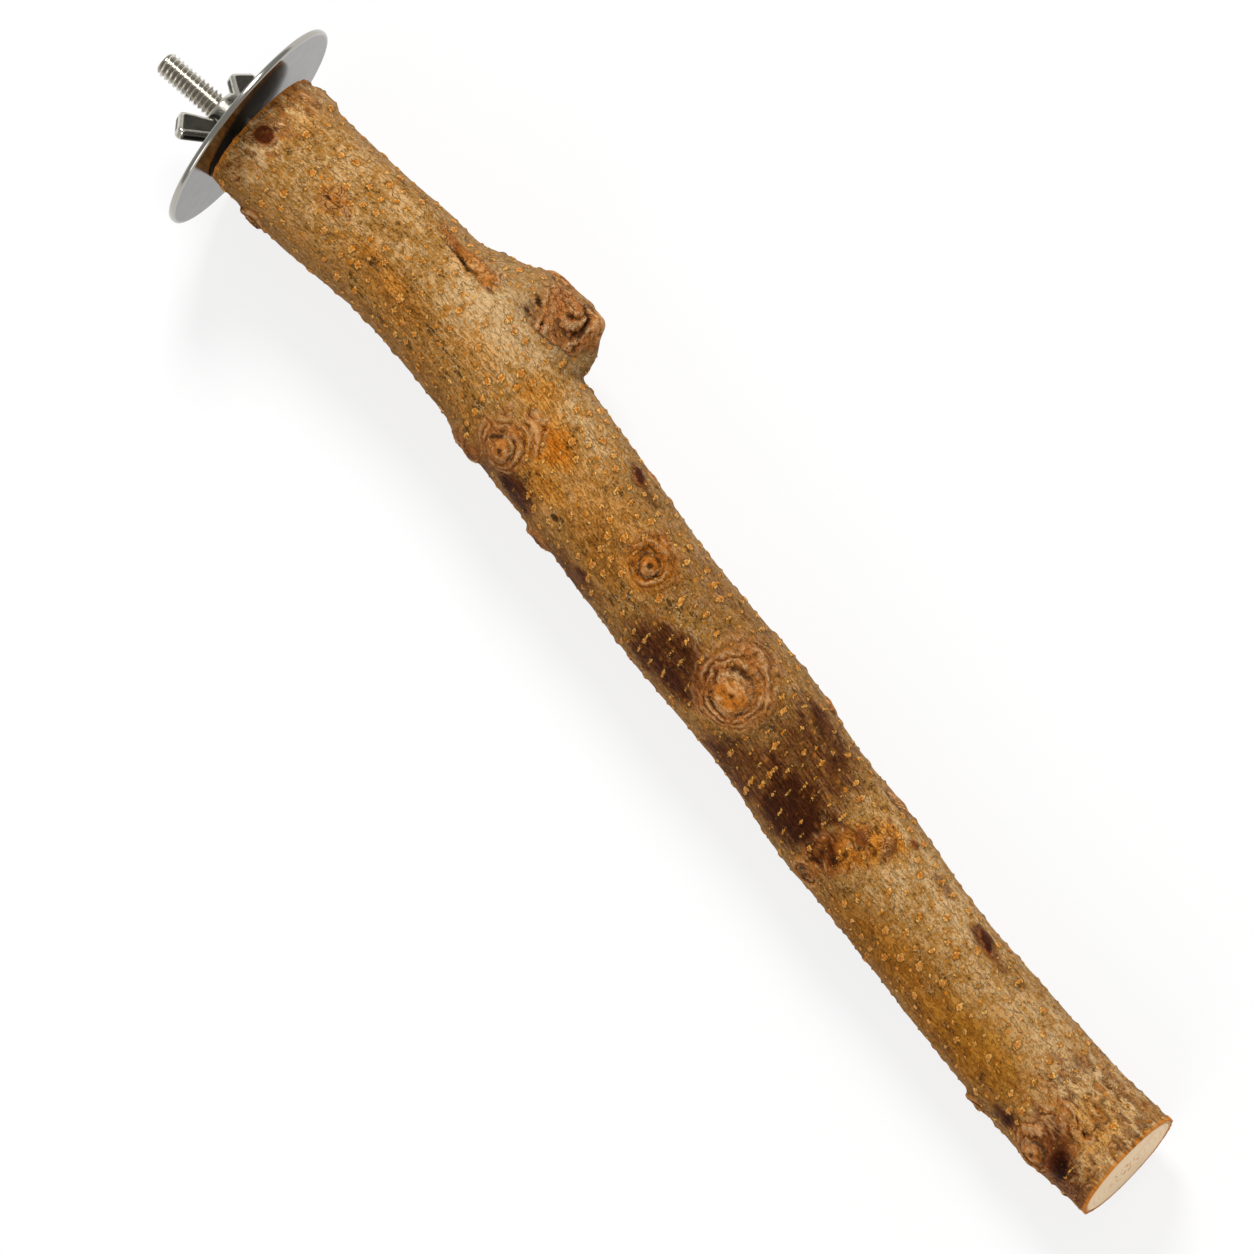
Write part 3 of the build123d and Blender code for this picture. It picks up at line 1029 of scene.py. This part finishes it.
    def add_lenticels(self):
        """Raises the lenticels and keeps how deep inside the nearest one each vertex lies."""
        home, radii = self.scatter()
        tree = KDTree(len(home))
        for number, index in enumerate(home):
            tree.insert(self.straight[index], number)
        tree.balance()
        spots = self.straight.tolist()
        near = np.array([[number for _, number, _ in tree.find_n(spot, NEAREST_COUNT)] for spot in spots])
        stain = self.zones["stain"][home]
        radii = radii * (1 - 0.48 * stain.clip(0, 1))
        stretch = 1.15 + 1.7 * stain
        depth = np.full(len(self.points), -FAR_AWAY)
        for number in near.T:
            offset = self.straight - self.straight[home[number]]
            across = np.hypot(offset[:, 1], offset[:, 2]) / stretch[number]
            depth = np.maximum(depth, radii[number] - np.hypot(offset[:, 0] * 1.15, across))
        busy = np.maximum(self.zones["callus"], self.zones["crack_and_shade"])
        depth -= LENTICEL_LOSS * busy
        self.raise_up(LENTICEL_RISE * smooth_step(depth, *LENTICEL_FLANK) * (1 - busy))
        self.zones["lenticel"] = np.clip(depth, -LENTICEL_DEPTH, LENTICEL_DEPTH)

    def rim(self):
        """How much each vertex shows the torn orange edge beside a saw cut."""
        total = np.zeros(len(self.points))
        for middle, normal in self.ends:
            depth = (np.array(middle) / MM - self.points) @ np.array(normal)
            total = np.maximum(total, smooth_step(depth + 0.5 * self.edge, *TORN_EDGE))
        return 0.7 * total

    def shape(self):
        """Moves the vertices and keeps the zones on the mesh."""
        self.grow()
        self.add_zones()
        self.add_knots()
        self.add_callus()
        self.add_scars()
        self.add_flakes()
        self.add_wrinkles()
        self.add_lenticels()
        height = np.clip(self.height, -DEEPEST, HIGHEST)
        moved = self.points + self.normals * height[:, None]
        self.mesh.vertices.foreach_set("co", (moved * MM).ravel())
        keep_values(self.mesh, "straight", self.straight)
        keep_values(self.mesh, "rings", self.rings)
        keep_values(self.mesh, "rim", self.rim())
        for name, values in self.zones.items():
            keep_values(self.mesh, name, values)


def saw_rim(shape, middle, normal, look):
    """Runs the bark's open edge out to a saw cut and turns it in as the sawn rim."""
    rim_value = shape.verts.layers.float["rim"]
    inset = middle - normal * look.edge_inset
    edges = open_edges(shape, lambda point: abs((point - inset).dot(normal)) < 2 * look.edge_inset)
    if not edges:
        raise RuntimeError("the bark has no open edge at that saw cut")

    def pull(edges, move, value):
        result = bmesh.ops.extrude_edge_only(shape, edges=edges)["geom"]
        for vert in (item for item in result if isinstance(item, bmesh.types.BMVert)):
            vert.co = move(vert.co)
            vert[rim_value] = value
        return [item for item in result if isinstance(item, bmesh.types.BMEdge)]

    def inwards(point, width, sink):
        centre = middle - normal * (middle - point).dot(normal)
        spoke = point - centre
        return point - spoke.normalized() * width - normal * sink

    outer = pull(edges, lambda point: point + normal * (middle - point).dot(normal), 1.0)
    for edge in outer:
        edge.smooth = False
    line = pull(outer, lambda point: inwards(point, look.rim_line, 0), 1.0)
    inner = pull(line, lambda point: inwards(point, look.rim_line / 10, look.rim_sink), 2.0)
    inner = pull(inner, lambda point: inwards(point, look.rim_width, 0), 2.0)
    pull(inner, lambda point: point - normal * 4 * look.rim_width, 2.0)


def bark_finish(look):
    """Tan and ochre bark with orange lenticels, dark patches and reddish scars, with a painted grey sheen on
    its sides, painted shade in its hollows and cracks, and painted highlights on its crests, knots and
    lenticels.
    """
    finish = Finish(bpy.data.materials.new("bark"), look.shade)
    place = finish.place("straight")
    broad, patchy, fleck, grain, fibre = [finish.cloud(place, *row) - 0.5 for row in BARK_CLOUDS]
    pale = finish.value("pale")
    ochre = finish.value("ochre")
    amber = finish.value("amber")

    # Ground, from dark hollows to pale crests: the bark's mottled tone, drawn from the same noise that raises
    # the bump relief, so it is also painted shade in the hollows and painted highlight on the crests
    tone = 0.50 + grain * 1.1 + fibre * (0.8 + amber) + fleck * 1.7 + patchy * 1.7 + broad * 0.4 + pale * 0.38
    finish.paint(finish.step(tone, 0.00, 0.50), look.tan)
    finish.paint(finish.step(tone, 0.45, 1.05), look.pale)
    # Painted sheen: grey blended over the sides
    finish.paint(finish.value("grey_sheen") * (0.6 + patchy) * 0.7, look.grey_sheen)
    crackle = finish.lines(place, CRACKLE_LENGTHS) * finish.step(patchy + fleck * 0.8, -0.14, 0.08)
    curls = finish.lines(place, CURL_LENGTHS) * finish.step(patchy - fleck * 0.5, 0.10, -0.10)
    finish.paint(crackle * 0.48, look.crack_and_shade)
    finish.paint(curls * 0.50, look.pale)

    # Washes of ochre and amber, and the dark patches
    warm = finish.step(amber + patchy + fleck, 0.05, 0.85)
    finish.wash(finish.step(ochre + patchy * 1.2 + fleck * 0.7, 0.0, 0.95) * (1 - warm), look.ochre)
    finish.wash(warm, look.amber)
    finish.wash(finish.step(amber + patchy * 0.8 + fibre, 0.80, 1.40), look.amber)
    finish.paint(finish.step(ochre * 0.3 + patchy * 1.5 + fleck * 2.0, 0.28, 0.68) * 0.30, look.orange)
    stained = finish.value("stain")
    streak = broad * 0.6 + patchy * 0.9 + fibre * 1.5 + fleck * 0.7
    stain = finish.step(stained + streak, 0.05, 0.90)
    finish.wash(stain, look.stain)
    finish.wash(finish.step(stained + streak * 1.3, 0.70, 1.30), look.deep)

    # Reddish bark of knots and scars, with painted highlights on its lumps and painted shade in its clefts
    callus = finish.value("callus")
    bud = finish.value("bud")
    nub = finish.cells(place, NUB_LENGTHS) + fleck * 0.5
    knobbly = callus * (1 - bud)
    lump = finish.step(nub, 0.40, 0.16) * knobbly
    cleft_shade = finish.step(nub, 0.50, 0.72) * knobbly
    scar = finish.blend(finish.step(amber, 0.20, 0.90) * 0.75, look.callus, look.orange)
    finish.paint(callus * (0.58 + fleck * 1.2), scar)
    finish.wash(finish.step(fleck + grain * 0.5 + patchy * 0.5, -0.02, -0.22) * knobbly * 0.40, look.stain)
    # Painted highlight on the lumps and painted shade in the clefts
    finish.paint(lump * 0.50, finish.blend(finish.step(grain, -0.05, 0.15), look.orange, look.pale))
    finish.paint(cleft_shade * 0.28, look.crack_and_shade)

    # Buds with painted highlights and painted shade on their folds, dark spots, and growth rings with painted
    # highlights on their crests and painted shade in their grooves
    fold = finish.blend(finish.step(fleck * 1.2 + patchy, -0.08, 0.12), look.orange, look.bud)
    fold = finish.blend(finish.step(fleck + grain * 0.5, -0.02, -0.16) * 0.8, fold, look.shade)
    finish.paint(bud * 0.80, fold)
    darkness = finish.value("dark")
    dark = darkness + fleck * 0.6
    finish.wash(finish.step(dark, 0.10, 0.80), look.stain)
    finish.wash(finish.step(dark, 0.50, 1.10), look.deep)
    wave = finish.maths("COSINE", (finish.value("rings") + fleck + patchy) * FULL_TURN)
    arcs = finish.step(patchy + fleck * 0.4, -0.12, 0.06) * callus
    arcs = arcs * finish.step(darkness, 0.70, 0.15) * (1 - bud * 0.8)
    # Painted shade in the rings' grooves and painted highlight on their crests
    groove = finish.step(wave, -0.60, -0.96) * arcs
    crest = finish.step(wave, 0.20, 0.95) * arcs
    finish.paint(crest * 0.60, look.pale)
    finish.paint(groove * 0.80, look.crack_and_shade)

    # Lenticels, the small spots between them and the painted shadow beside them, with painted highlights and
    # painted shade on their grains
    spot = finish.cells(place, SPOT_LENGTHS) + grain * 0.6 + fleck * 0.8
    small = finish.step(spot, 0.24, 0.12) * (1 - callus) * (1 - stain * 0.8)
    depth = finish.value("lenticel") + grain * 1.3 + fleck * 1.7
    ring = finish.step(depth, -0.04, 0.10)
    heart = finish.step(depth, 0.42, 0.60)
    finish.paint(finish.step(depth, -0.40, -0.04) * (1 - ring) * 0.48, look.shade)
    # Painted highlight: bright grains on the lenticels
    painted_highlight = finish.step(grain + fibre * 0.6, -0.03, 0.14) * (1 - stain * 0.25)
    orange = finish.blend(painted_highlight, look.lenticel, look.lenticel_highlight)
    # Painted shade: dark grains in the lenticels
    orange = finish.blend(finish.step(grain - fleck * 0.6, -0.08, -0.22) * 0.7, orange, look.shade)
    finish.paint(small * 0.75, orange)
    finish.paint(ring * (0.90 + patchy * 0.8), finish.blend(heart * 0.6, orange, look.callus))

    # Cracks, with the painted shade in grooves, pits, moats, troughs and clefts, and the sawn rim
    crack_and_shade = finish.step(finish.value("crack_and_shade") + grain * 0.8 + fleck * 0.5, 0.20, 0.80)
    finish.paint(crack_and_shade * 0.85, look.crack_and_shade)
    rim = finish.value("rim")
    finish.paint(finish.step(rim, 0.10, 1.00) * 0.92, look.rim)
    finish.paint(finish.step(rim, 1.10, 1.90), look.inner)

    height = grain * 0.8 + fibre * 0.4 + fleck + ring * 0.45 + small * 0.30 + crest * 0.3 + curls * 0.16
    height = height - crack_and_shade * 0.5 - crackle * 0.28 - groove * 0.5 + lump * 0.4 - cleft_shade * 0.5
    finish.set(
        Roughness=0.66 - stain * 0.10 - ring * 0.14 - grain * 0.5,
        Normal=finish.relief(height, BARK_RELIEF),
        Specular_IOR_Level=0.06,
    )
    return finish.done()


class PERCH_OT_bark(bpy.types.Operator):
    """Grow the bark with its knots, scars, flakes and lenticels"""

    bl_idname = "perch.bark"
    bl_label = "Bark"

    def execute(self, context):
        look = context.scene.perch_bark
        ends = [sawn_face("branch_wood", direction) for direction in (-ALONG, ALONG)]
        shape = remeshed(node_copy("bark", "branch_wood"), look.grid)
        for middle, normal in ends:
            cut_off(shape, middle - normal * look.edge_inset, normal)
        keep_largest(shape)
        soften(shape, shape.verts, BARK_PASSES)
        mesh = to_mesh(shape, "bark_skin")
        Bark(mesh, look, ends).shape()
        shape = take_in(bmesh.new(), mesh)
        for middle, normal in ends:
            saw_rim(shape, middle, normal, look)
        bmesh.ops.recalc_face_normals(shape, faces=shape.faces)
        add_piece("bark_skin", to_mesh(shape, "bark_skin"), bark_finish(look), "branch", "bark")
        return {"FINISHED"}


# Wood


class PERCH_OT_wood(bpy.types.Operator):
    """Give the sawn wood its year rings, saw marks and pith"""

    bl_idname = "perch.wood"
    bl_label = "Sawn wood"

    def execute(self, context):
        look = context.scene.perch_wood
        finish = Finish(bpy.data.materials.new("sawn_wood"), look.cream)
        place = finish.position()
        x, y, z = [finish.node("ShaderNodeSeparateXYZ", {}, {0: place}, axis) for axis in range(3)]
        y = y + x * (BRANCH_DRIFT / BRANCH_LENGTH)
        z = z + x * (BRANCH_DROP / BRANCH_LENGTH)
        flat = finish.node("ShaderNodeCombineXYZ", {}, {0: 0.0, 1: y, 2: z})
        reach = finish.length(flat)
        drift = finish.cloud(flat, DRIFT_LENGTHS)
        grain = finish.cloud(flat, GRAIN_LENGTHS, 3.0, 0.6)
        saw = finish.cloud(flat, SAW_LENGTHS, 2.0, 0.6)
        rings = finish.maths("SINE", reach * YEAR_RING_TURN + drift * 5.0)
        finish.paint(finish.step(rings, 0.1, 1.0) * 0.45, look.ring)
        finish.paint(finish.step(drift, 0.50, 0.75) * 0.35, look.ring)
        finish.paint(finish.step(saw, 0.52, 0.72) * 0.25, look.ring)
        finish.paint(finish.step(reach, *OUTER_RADII) * 0.25, look.ring)
        specks = finish.step(finish.cells(flat, PITH_LENGTHS) + (grain - 0.5) * 0.12, 0.44, 0.28)
        finish.paint(specks * finish.step(reach + (drift - 0.5) * 4, *PITH_RADII) * 0.8, look.pith)
        finish.set(
            Roughness=0.72 + (grain - 0.5) * 0.2,
            Normal=finish.relief(grain * 0.6 + saw * 0.6, WOOD_RELIEF),
            Specular_IOR_Level=0.3,
        )
        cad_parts["branch_wood"].material_slots[0].material = finish.done()
        return {"FINISHED"}


# Bolt


def threaded_rod(pitch, crest, root, start, end):
    """A rod with a right-hand thread along X, open at both ends."""
    shape = bmesh.new()
    first = start - 1.5 * pitch
    verts = [shape.verts.new((first + along * pitch, 0, root + (crest - root) * rise))
             for along, rise in THREAD_SHARES]
    edges = [shape.edges.new(pair) for pair in zip(verts, verts[1:])]
    turns = math.ceil((end - first) / pitch) + 1
    bmesh.ops.spin(
        shape, geom=verts + edges, cent=(0, 0, 0), axis=ALONG, dvec=ALONG * pitch / THREAD_STEPS,
        angle=FULL_TURN * turns, steps=THREAD_STEPS * turns, use_merge=False
    )
    bmesh.ops.remove_doubles(shape, verts=shape.verts, dist=pitch / 200)
    cut_off(shape, ALONG * start, -ALONG)
    cut_off(shape, ALONG * end, ALONG)
    return shape


def narrow(shape, allowed):
    """Draws vertices in to the radius that is allowed at their place along the rod."""
    for vert in shape.verts:
        radius = from_axis(vert.co)
        limit = allowed(vert.co.x)
        if radius > limit:
            vert.co.y *= limit / radius
            vert.co.z *= limit / radius


def darker(tone, share):
    """A colour with that share of its light."""
    return tuple(part * share for part in tone[:3]) + (1.0,)


def steel_finish(name, tone, roughness, mark_lengths, mark_depth):
    """Bright steel with fine drawn marks and a little uneven plating."""
    finish = Finish(bpy.data.materials.new(name), tone)
    place = finish.position()
    marks = finish.cloud(place, mark_lengths, 3.0, 0.6)
    dull = finish.cloud(place, PLATING_LENGTHS)
    finish.paint(finish.step(dull + (marks - 0.5) * 0.5, 0.40, 0.75) * 0.6, darker(tone, 0.72))
    finish.set(
        Metallic=1.0,
        Roughness=roughness + (dull - 0.5) * 0.12 + (marks - 0.5) * 0.10,
        Normal=finish.relief(marks, mark_depth),
    )
    return finish


class PERCH_OT_bolt(bpy.types.Operator):
    """Cut the hanger bolt's machine thread and its wood screw"""

    bl_idname = "perch.bolt"
    bl_label = "Hanger bolt"

    def execute(self, context):
        look = context.scene.perch_hardware
        mesh = to_mesh(self.cut(look), "threaded_bolt")
        mesh.set_sharp_from_angle(angle=math.radians(SHARP_DEGREES))
        finish = steel_finish("bolt_steel", look.steel, 0.24, BOLT_MARK_LENGTHS, BOLT_RELIEF)
        # Painted shade: the thread's roots are darkened with the groove colour, fading out above the root
        # radius
        reach = finish.length(finish.vector_maths("MULTIPLY", finish.position(), (0, 1, 1)))
        root_shade = [look.root / MM + height for height in ROOT_SHADE_HEIGHTS]
        finish.paint(finish.step(reach, *root_shade), look.groove)
        add_piece("threaded_bolt", mesh, finish.done(), "branch", "hanger_bolt")
        return {"FINISHED"}

    def cut(self, look):
        """The machine thread with its chamfered tip, the waist and the pointed wood screw."""
        low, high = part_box("hanger_bolt")
        tip = low[0]
        point = high[0]
        waist = BOLT_WAIST * MM
        chamfer_end = tip + TIP_CHAMFER * MM
        tip_radius = look.root - TIP_INSET * MM
        shape = threaded_rod(look.pitch, look.crest, look.root, tip, waist)
        narrow(shape, lambda x: tip_radius + (x - tip) * TIP_SLOPE if x < chamfer_end else look.crest)
        narrow(shape, lambda x: look.root if x > waist - RUN_OUT * MM else look.crest)
        cap = open_edges(shape, lambda spot: spot.x < tip + MERGE_DISTANCE * MM)
        bmesh.ops.holes_fill(shape, edges=cap, sides=0)
        screw = threaded_rod(look.wood_pitch, look.crest, look.wood_root, waist + SCREW_GAP * MM, point)
        taper = SCREW_TAPER * MM
        narrow(screw, lambda x: max(SCREW_POINT * MM, look.crest * min(1.0, (point - x) / taper)))
        take_in(shape, to_mesh(screw, "screw"))
        bmesh.ops.bridge_loops(shape, edges=open_edges(shape, lambda spot: abs(spot.x - waist) < MM))
        bmesh.ops.holes_fill(shape, edges=open_edges(shape), sides=0)
        bmesh.ops.recalc_face_normals(shape, faces=shape.faces)
        return shape


# Washer


class PERCH_OT_washer(bpy.types.Operator):
    """Stamp the large washer with its rounded edge"""

    bl_idname = "perch.washer"
    bl_label = "Washer"

    def execute(self, context):
        look = context.scene.perch_hardware
        copy = node_copy("washer")
        face = max(copy.faces, key=lambda face: face.calc_area() * abs(face.normal.x))
        axis = face.normal * (1 if face.normal.x > 0 else -1)
        places = [vert.co.dot(axis) for vert in copy.verts]
        thickness = max(places) - min(places)
        middle = sum((vert.co for vert in copy.verts), Vector()) / len(copy.verts)
        offsets = [vert.co - middle for vert in copy.verts]
        outer = max((offset - axis * offset.dot(axis)).length for offset in offsets)
        copy.free()

        mesh = to_mesh(self.stamp(look, outer, thickness, middle, axis), "round_washer")
        finish = steel_finish("washer_steel", look.satin, 0.15, WASHER_MARK_LENGTHS, WASHER_RELIEF)
        # Painted highlight: the rounded outer rim is blended half-way to bright steel
        spoke = finish.length(finish.vector_maths("SUBTRACT", finish.position(), middle / MM))
        painted_highlight = [(outer - look.washer_rounding * share) / MM for share in (2, 0.5)]
        finish.paint(finish.step(spoke, *painted_highlight) * 0.5, look.steel)
        washer = add_piece("round_washer", mesh, finish.done(), "washer", "washer")
        washer.modifiers.new("Flat faces", "WEIGHTED_NORMAL").weight = FLAT_WEIGHT
        return {"FINISHED"}

    def stamp(self, look, outer, thickness, middle, axis):
        """A flat ring with rounded rims, turned to its axis."""
        inner = look.washer_hole / 2
        shape = bmesh.new()
        corners = [(inner, 0), (outer, 0), (outer, thickness), (inner, thickness)]
        verts = [shape.verts.new((along - thickness / 2, 0, radius)) for radius, along in corners]
        edges = [shape.edges.new((verts[i], verts[i - 1])) for i in range(len(verts))]
        bmesh.ops.spin(
            shape, geom=verts + edges, cent=(0, 0, 0), axis=ALONG, angle=FULL_TURN, steps=WASHER_STEPS,
            use_merge=True
        )
        bmesh.ops.remove_doubles(shape, verts=shape.verts, dist=MERGE_DISTANCE * MM)
        bmesh.ops.recalc_face_normals(shape, faces=shape.faces)
        for radius, rounding in ((outer, look.washer_rounding), (inner, look.washer_rounding / 2)):
            rims = [edge for edge in shape.edges if abs(edge.calc_face_angle(0)) > 1
                    and all(abs(from_axis(vert.co) - radius) < RIM_TOLERANCE * MM for vert in edge.verts)]
            bmesh.ops.bevel(
                shape, geom=rims, offset=rounding, offset_type="OFFSET", affect="EDGES",
                segments=ROUNDING_STEPS, profile=0.5, material=-1
            )
        turn = ALONG.rotation_difference(axis).to_matrix().to_4x4()
        bmesh.ops.transform(shape, matrix=Matrix.Translation(middle) @ turn, verts=shape.verts)
        return shape


# Wing nut


class PERCH_OT_wing_nut(bpy.types.Operator):
    """Cast the wing nut with soft edges and fillets at its wings' roots"""

    bl_idname = "perch.wing_nut"
    bl_label = "Wing nut"

    def execute(self, context):
        look = context.scene.perch_hardware
        shape = remeshed(node_copy("wing_nut"), look.nut_grid)
        soften(shape, shape.verts, NUT_PASSES)
        inner, outer = [radius * MM for radius in ROOT_RADII]
        roots = [vert for vert in shape.verts if inner < from_axis(vert.co) < outer]
        soften(shape, roots, ROOT_PASSES)
        shape.normal_update()
        # How far each vertex stands out of its neighbours, which places the painted edge highlights
        convexity = []
        for vert in shape.verts:
            around = [edge.other_vert(vert).co for edge in vert.link_edges]
            mean = sum(around, Vector()) / len(around)
            convexity.append((vert.co - mean).dot(vert.normal))
        mesh = to_mesh(shape, "cast_wing_nut")
        keep_values(mesh, "convexity", np.array(convexity) / look.nut_grid)
        add_piece("cast_wing_nut", mesh, self.cast_finish(look), "wing_nut", "wing_nut")
        return {"FINISHED"}

    def cast_finish(self, look):
        """Dull cast steel, with painted highlights along its convex edges."""
        finish = Finish(bpy.data.materials.new("nut_steel"), look.cast)
        place = finish.position()
        grit = finish.cloud(place, GRIT_LENGTHS, 4.0, 0.6)
        finish.paint(finish.step(finish.cloud(place, CASTING_LENGTHS), 0.35, 0.70), darker(look.cast, 0.6))
        # Painted highlight: the convex edges are blended to a bright tint and made glossier
        edge = finish.step(finish.value("convexity") + (grit - 0.5) * 0.02, 0.002, 0.022)
        finish.paint(edge, look.edge_highlight)
        finish.set(
            Metallic=1.0,
            Roughness=0.36 - edge * 0.14 + (grit - 0.5) * 0.2,
            Normal=finish.relief(grit, NUT_RELIEF),
        )
        return finish.done()


# Stage


class PERCH_OT_stage(bpy.types.Operator):
    """Lay the pale floor and set the soft light and the camera"""

    bl_idname = "perch.stage"
    bl_label = "Stage"

    def execute(self, context):
        look = context.scene.perch_stage
        self.lay_floor(context.scene, look)
        self.set_light(context.scene, look)
        self.set_camera(context.scene, look)
        context.scene.view_settings.view_transform = "Standard"
        return {"FINISHED"}

    def lay_floor(self, scene, look):
        """A wide floor at the perch's lowest point, brightened for the camera and for reflections."""
        shape = bmesh.new()
        bmesh.ops.create_grid(shape, x_segments=2, y_segments=2, size=FLOOR_SIZE)
        bmesh.ops.translate(shape, vec=(0, 0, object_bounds()[0][2]), verts=shape.verts)
        finish = Finish(bpy.data.materials.new("studio_floor"), look.floor)
        finish.set(Roughness=0.9, Specular_IOR_Level=0.0)
        seen = finish.seen_by("Camera") + finish.seen_by("Glossy") + finish.seen_by("Transmission")
        finish.cover(seen * FLOOR_GLOW_SHARE, finish.node("ShaderNodeEmission", {}, {}))
        floor = bpy.data.objects.new("studio_floor", to_mesh(shape, "studio_floor"))
        floor.data.materials.append(finish.done())
        scene.collection.objects.link(floor)
        floor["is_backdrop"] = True

    def set_light(self, scene, look):
        """A dim white room that the camera sees as pure white, and two round lamps."""
        room = Finish(bpy.data.worlds.new("studio"))
        room.set(Color=WHITE, Strength=ROOM_LIGHT)
        room.cover(room.seen_by("Camera"), room.node("ShaderNodeBackground", {}, {"Color": WHITE}))
        scene.world = room.holder
        powers = {"key": look.key_power, "fill": look.fill_power}
        aim = Vector(look.aim)
        for name, (place, width) in LAMPS.items():
            lamp = bpy.data.lights.new(name, "AREA")
            lamp.shape = "DISK"
            lamp.size = width
            lamp.energy = powers[name]
            holder = bpy.data.objects.new(name, lamp)
            holder.location = aim + Vector(place)
            holder.rotation_euler = (aim - holder.location).to_track_quat("-Z", "Y").to_euler()
            scene.collection.objects.link(holder)

    def set_camera(self, scene, look):
        """A far camera that looks down on the branch, tilted and rolled as in the photo."""
        back = Vector((math.sin(look.tilt), 0, math.cos(look.tilt)))
        down_branch = Vector((math.cos(look.tilt), 0, -math.sin(look.tilt)))
        aside = Vector((0, 1, 0))
        right = down_branch * math.cos(look.roll) - aside * math.sin(look.roll)
        up = down_branch * math.sin(look.roll) + aside * math.cos(look.roll)
        camera = bpy.data.cameras.new("camera")
        camera.sensor_width = SENSOR_WIDTH
        camera.lens = camera.sensor_width * look.distance / look.frame_width
        camera.clip_end = 4 * look.distance
        holder = bpy.data.objects.new("camera", camera)
        turn = Matrix((right, up, back)).transposed().to_4x4()
        holder.matrix_world = Matrix.Translation(Vector(look.aim) + back * look.distance) @ turn
        scene.collection.objects.link(holder)
        scene.camera = holder


class PERCH_PT_panel(bpy.types.Panel):
    """Lists the perch's pieces and its stage"""

    bl_idname = "PERCH_PT_panel"
    bl_label = "Bird perch"
    bl_space_type = "VIEW_3D"
    bl_region_type = "UI"
    bl_category = "Perch"

    def draw(self, context):
        for operator in OPERATORS:
            self.layout.operator(operator.bl_idname)


OPERATORS = (
    PERCH_OT_bark,
    PERCH_OT_wood,
    PERCH_OT_bolt,
    PERCH_OT_washer,
    PERCH_OT_wing_nut,
    PERCH_OT_stage,
)
SETTINGS = {
    "perch_bark": BarkSettings,
    "perch_wood": WoodSettings,
    "perch_hardware": HardwareSettings,
    "perch_stage": StageSettings,
}


def register():
    for name, group in SETTINGS.items():
        bpy.utils.register_class(group)
        setattr(bpy.types.Scene, name, PointerProperty(type=group))
    for operator in OPERATORS:
        bpy.utils.register_class(operator)
    bpy.utils.register_class(PERCH_PT_panel)


def unregister():
    bpy.utils.unregister_class(PERCH_PT_panel)
    for operator in reversed(OPERATORS):
        bpy.utils.unregister_class(operator)
    for name, group in reversed(SETTINGS.items()):
        delattr(bpy.types.Scene, name)
        bpy.utils.unregister_class(group)


def main():
    register()
    bpy.ops.perch.bark()
    bpy.ops.perch.wood()
    bpy.ops.perch.bolt()
    bpy.ops.perch.washer()
    bpy.ops.perch.wing_nut()
    bpy.ops.perch.stage()


if __name__ == "__main__":
    main()
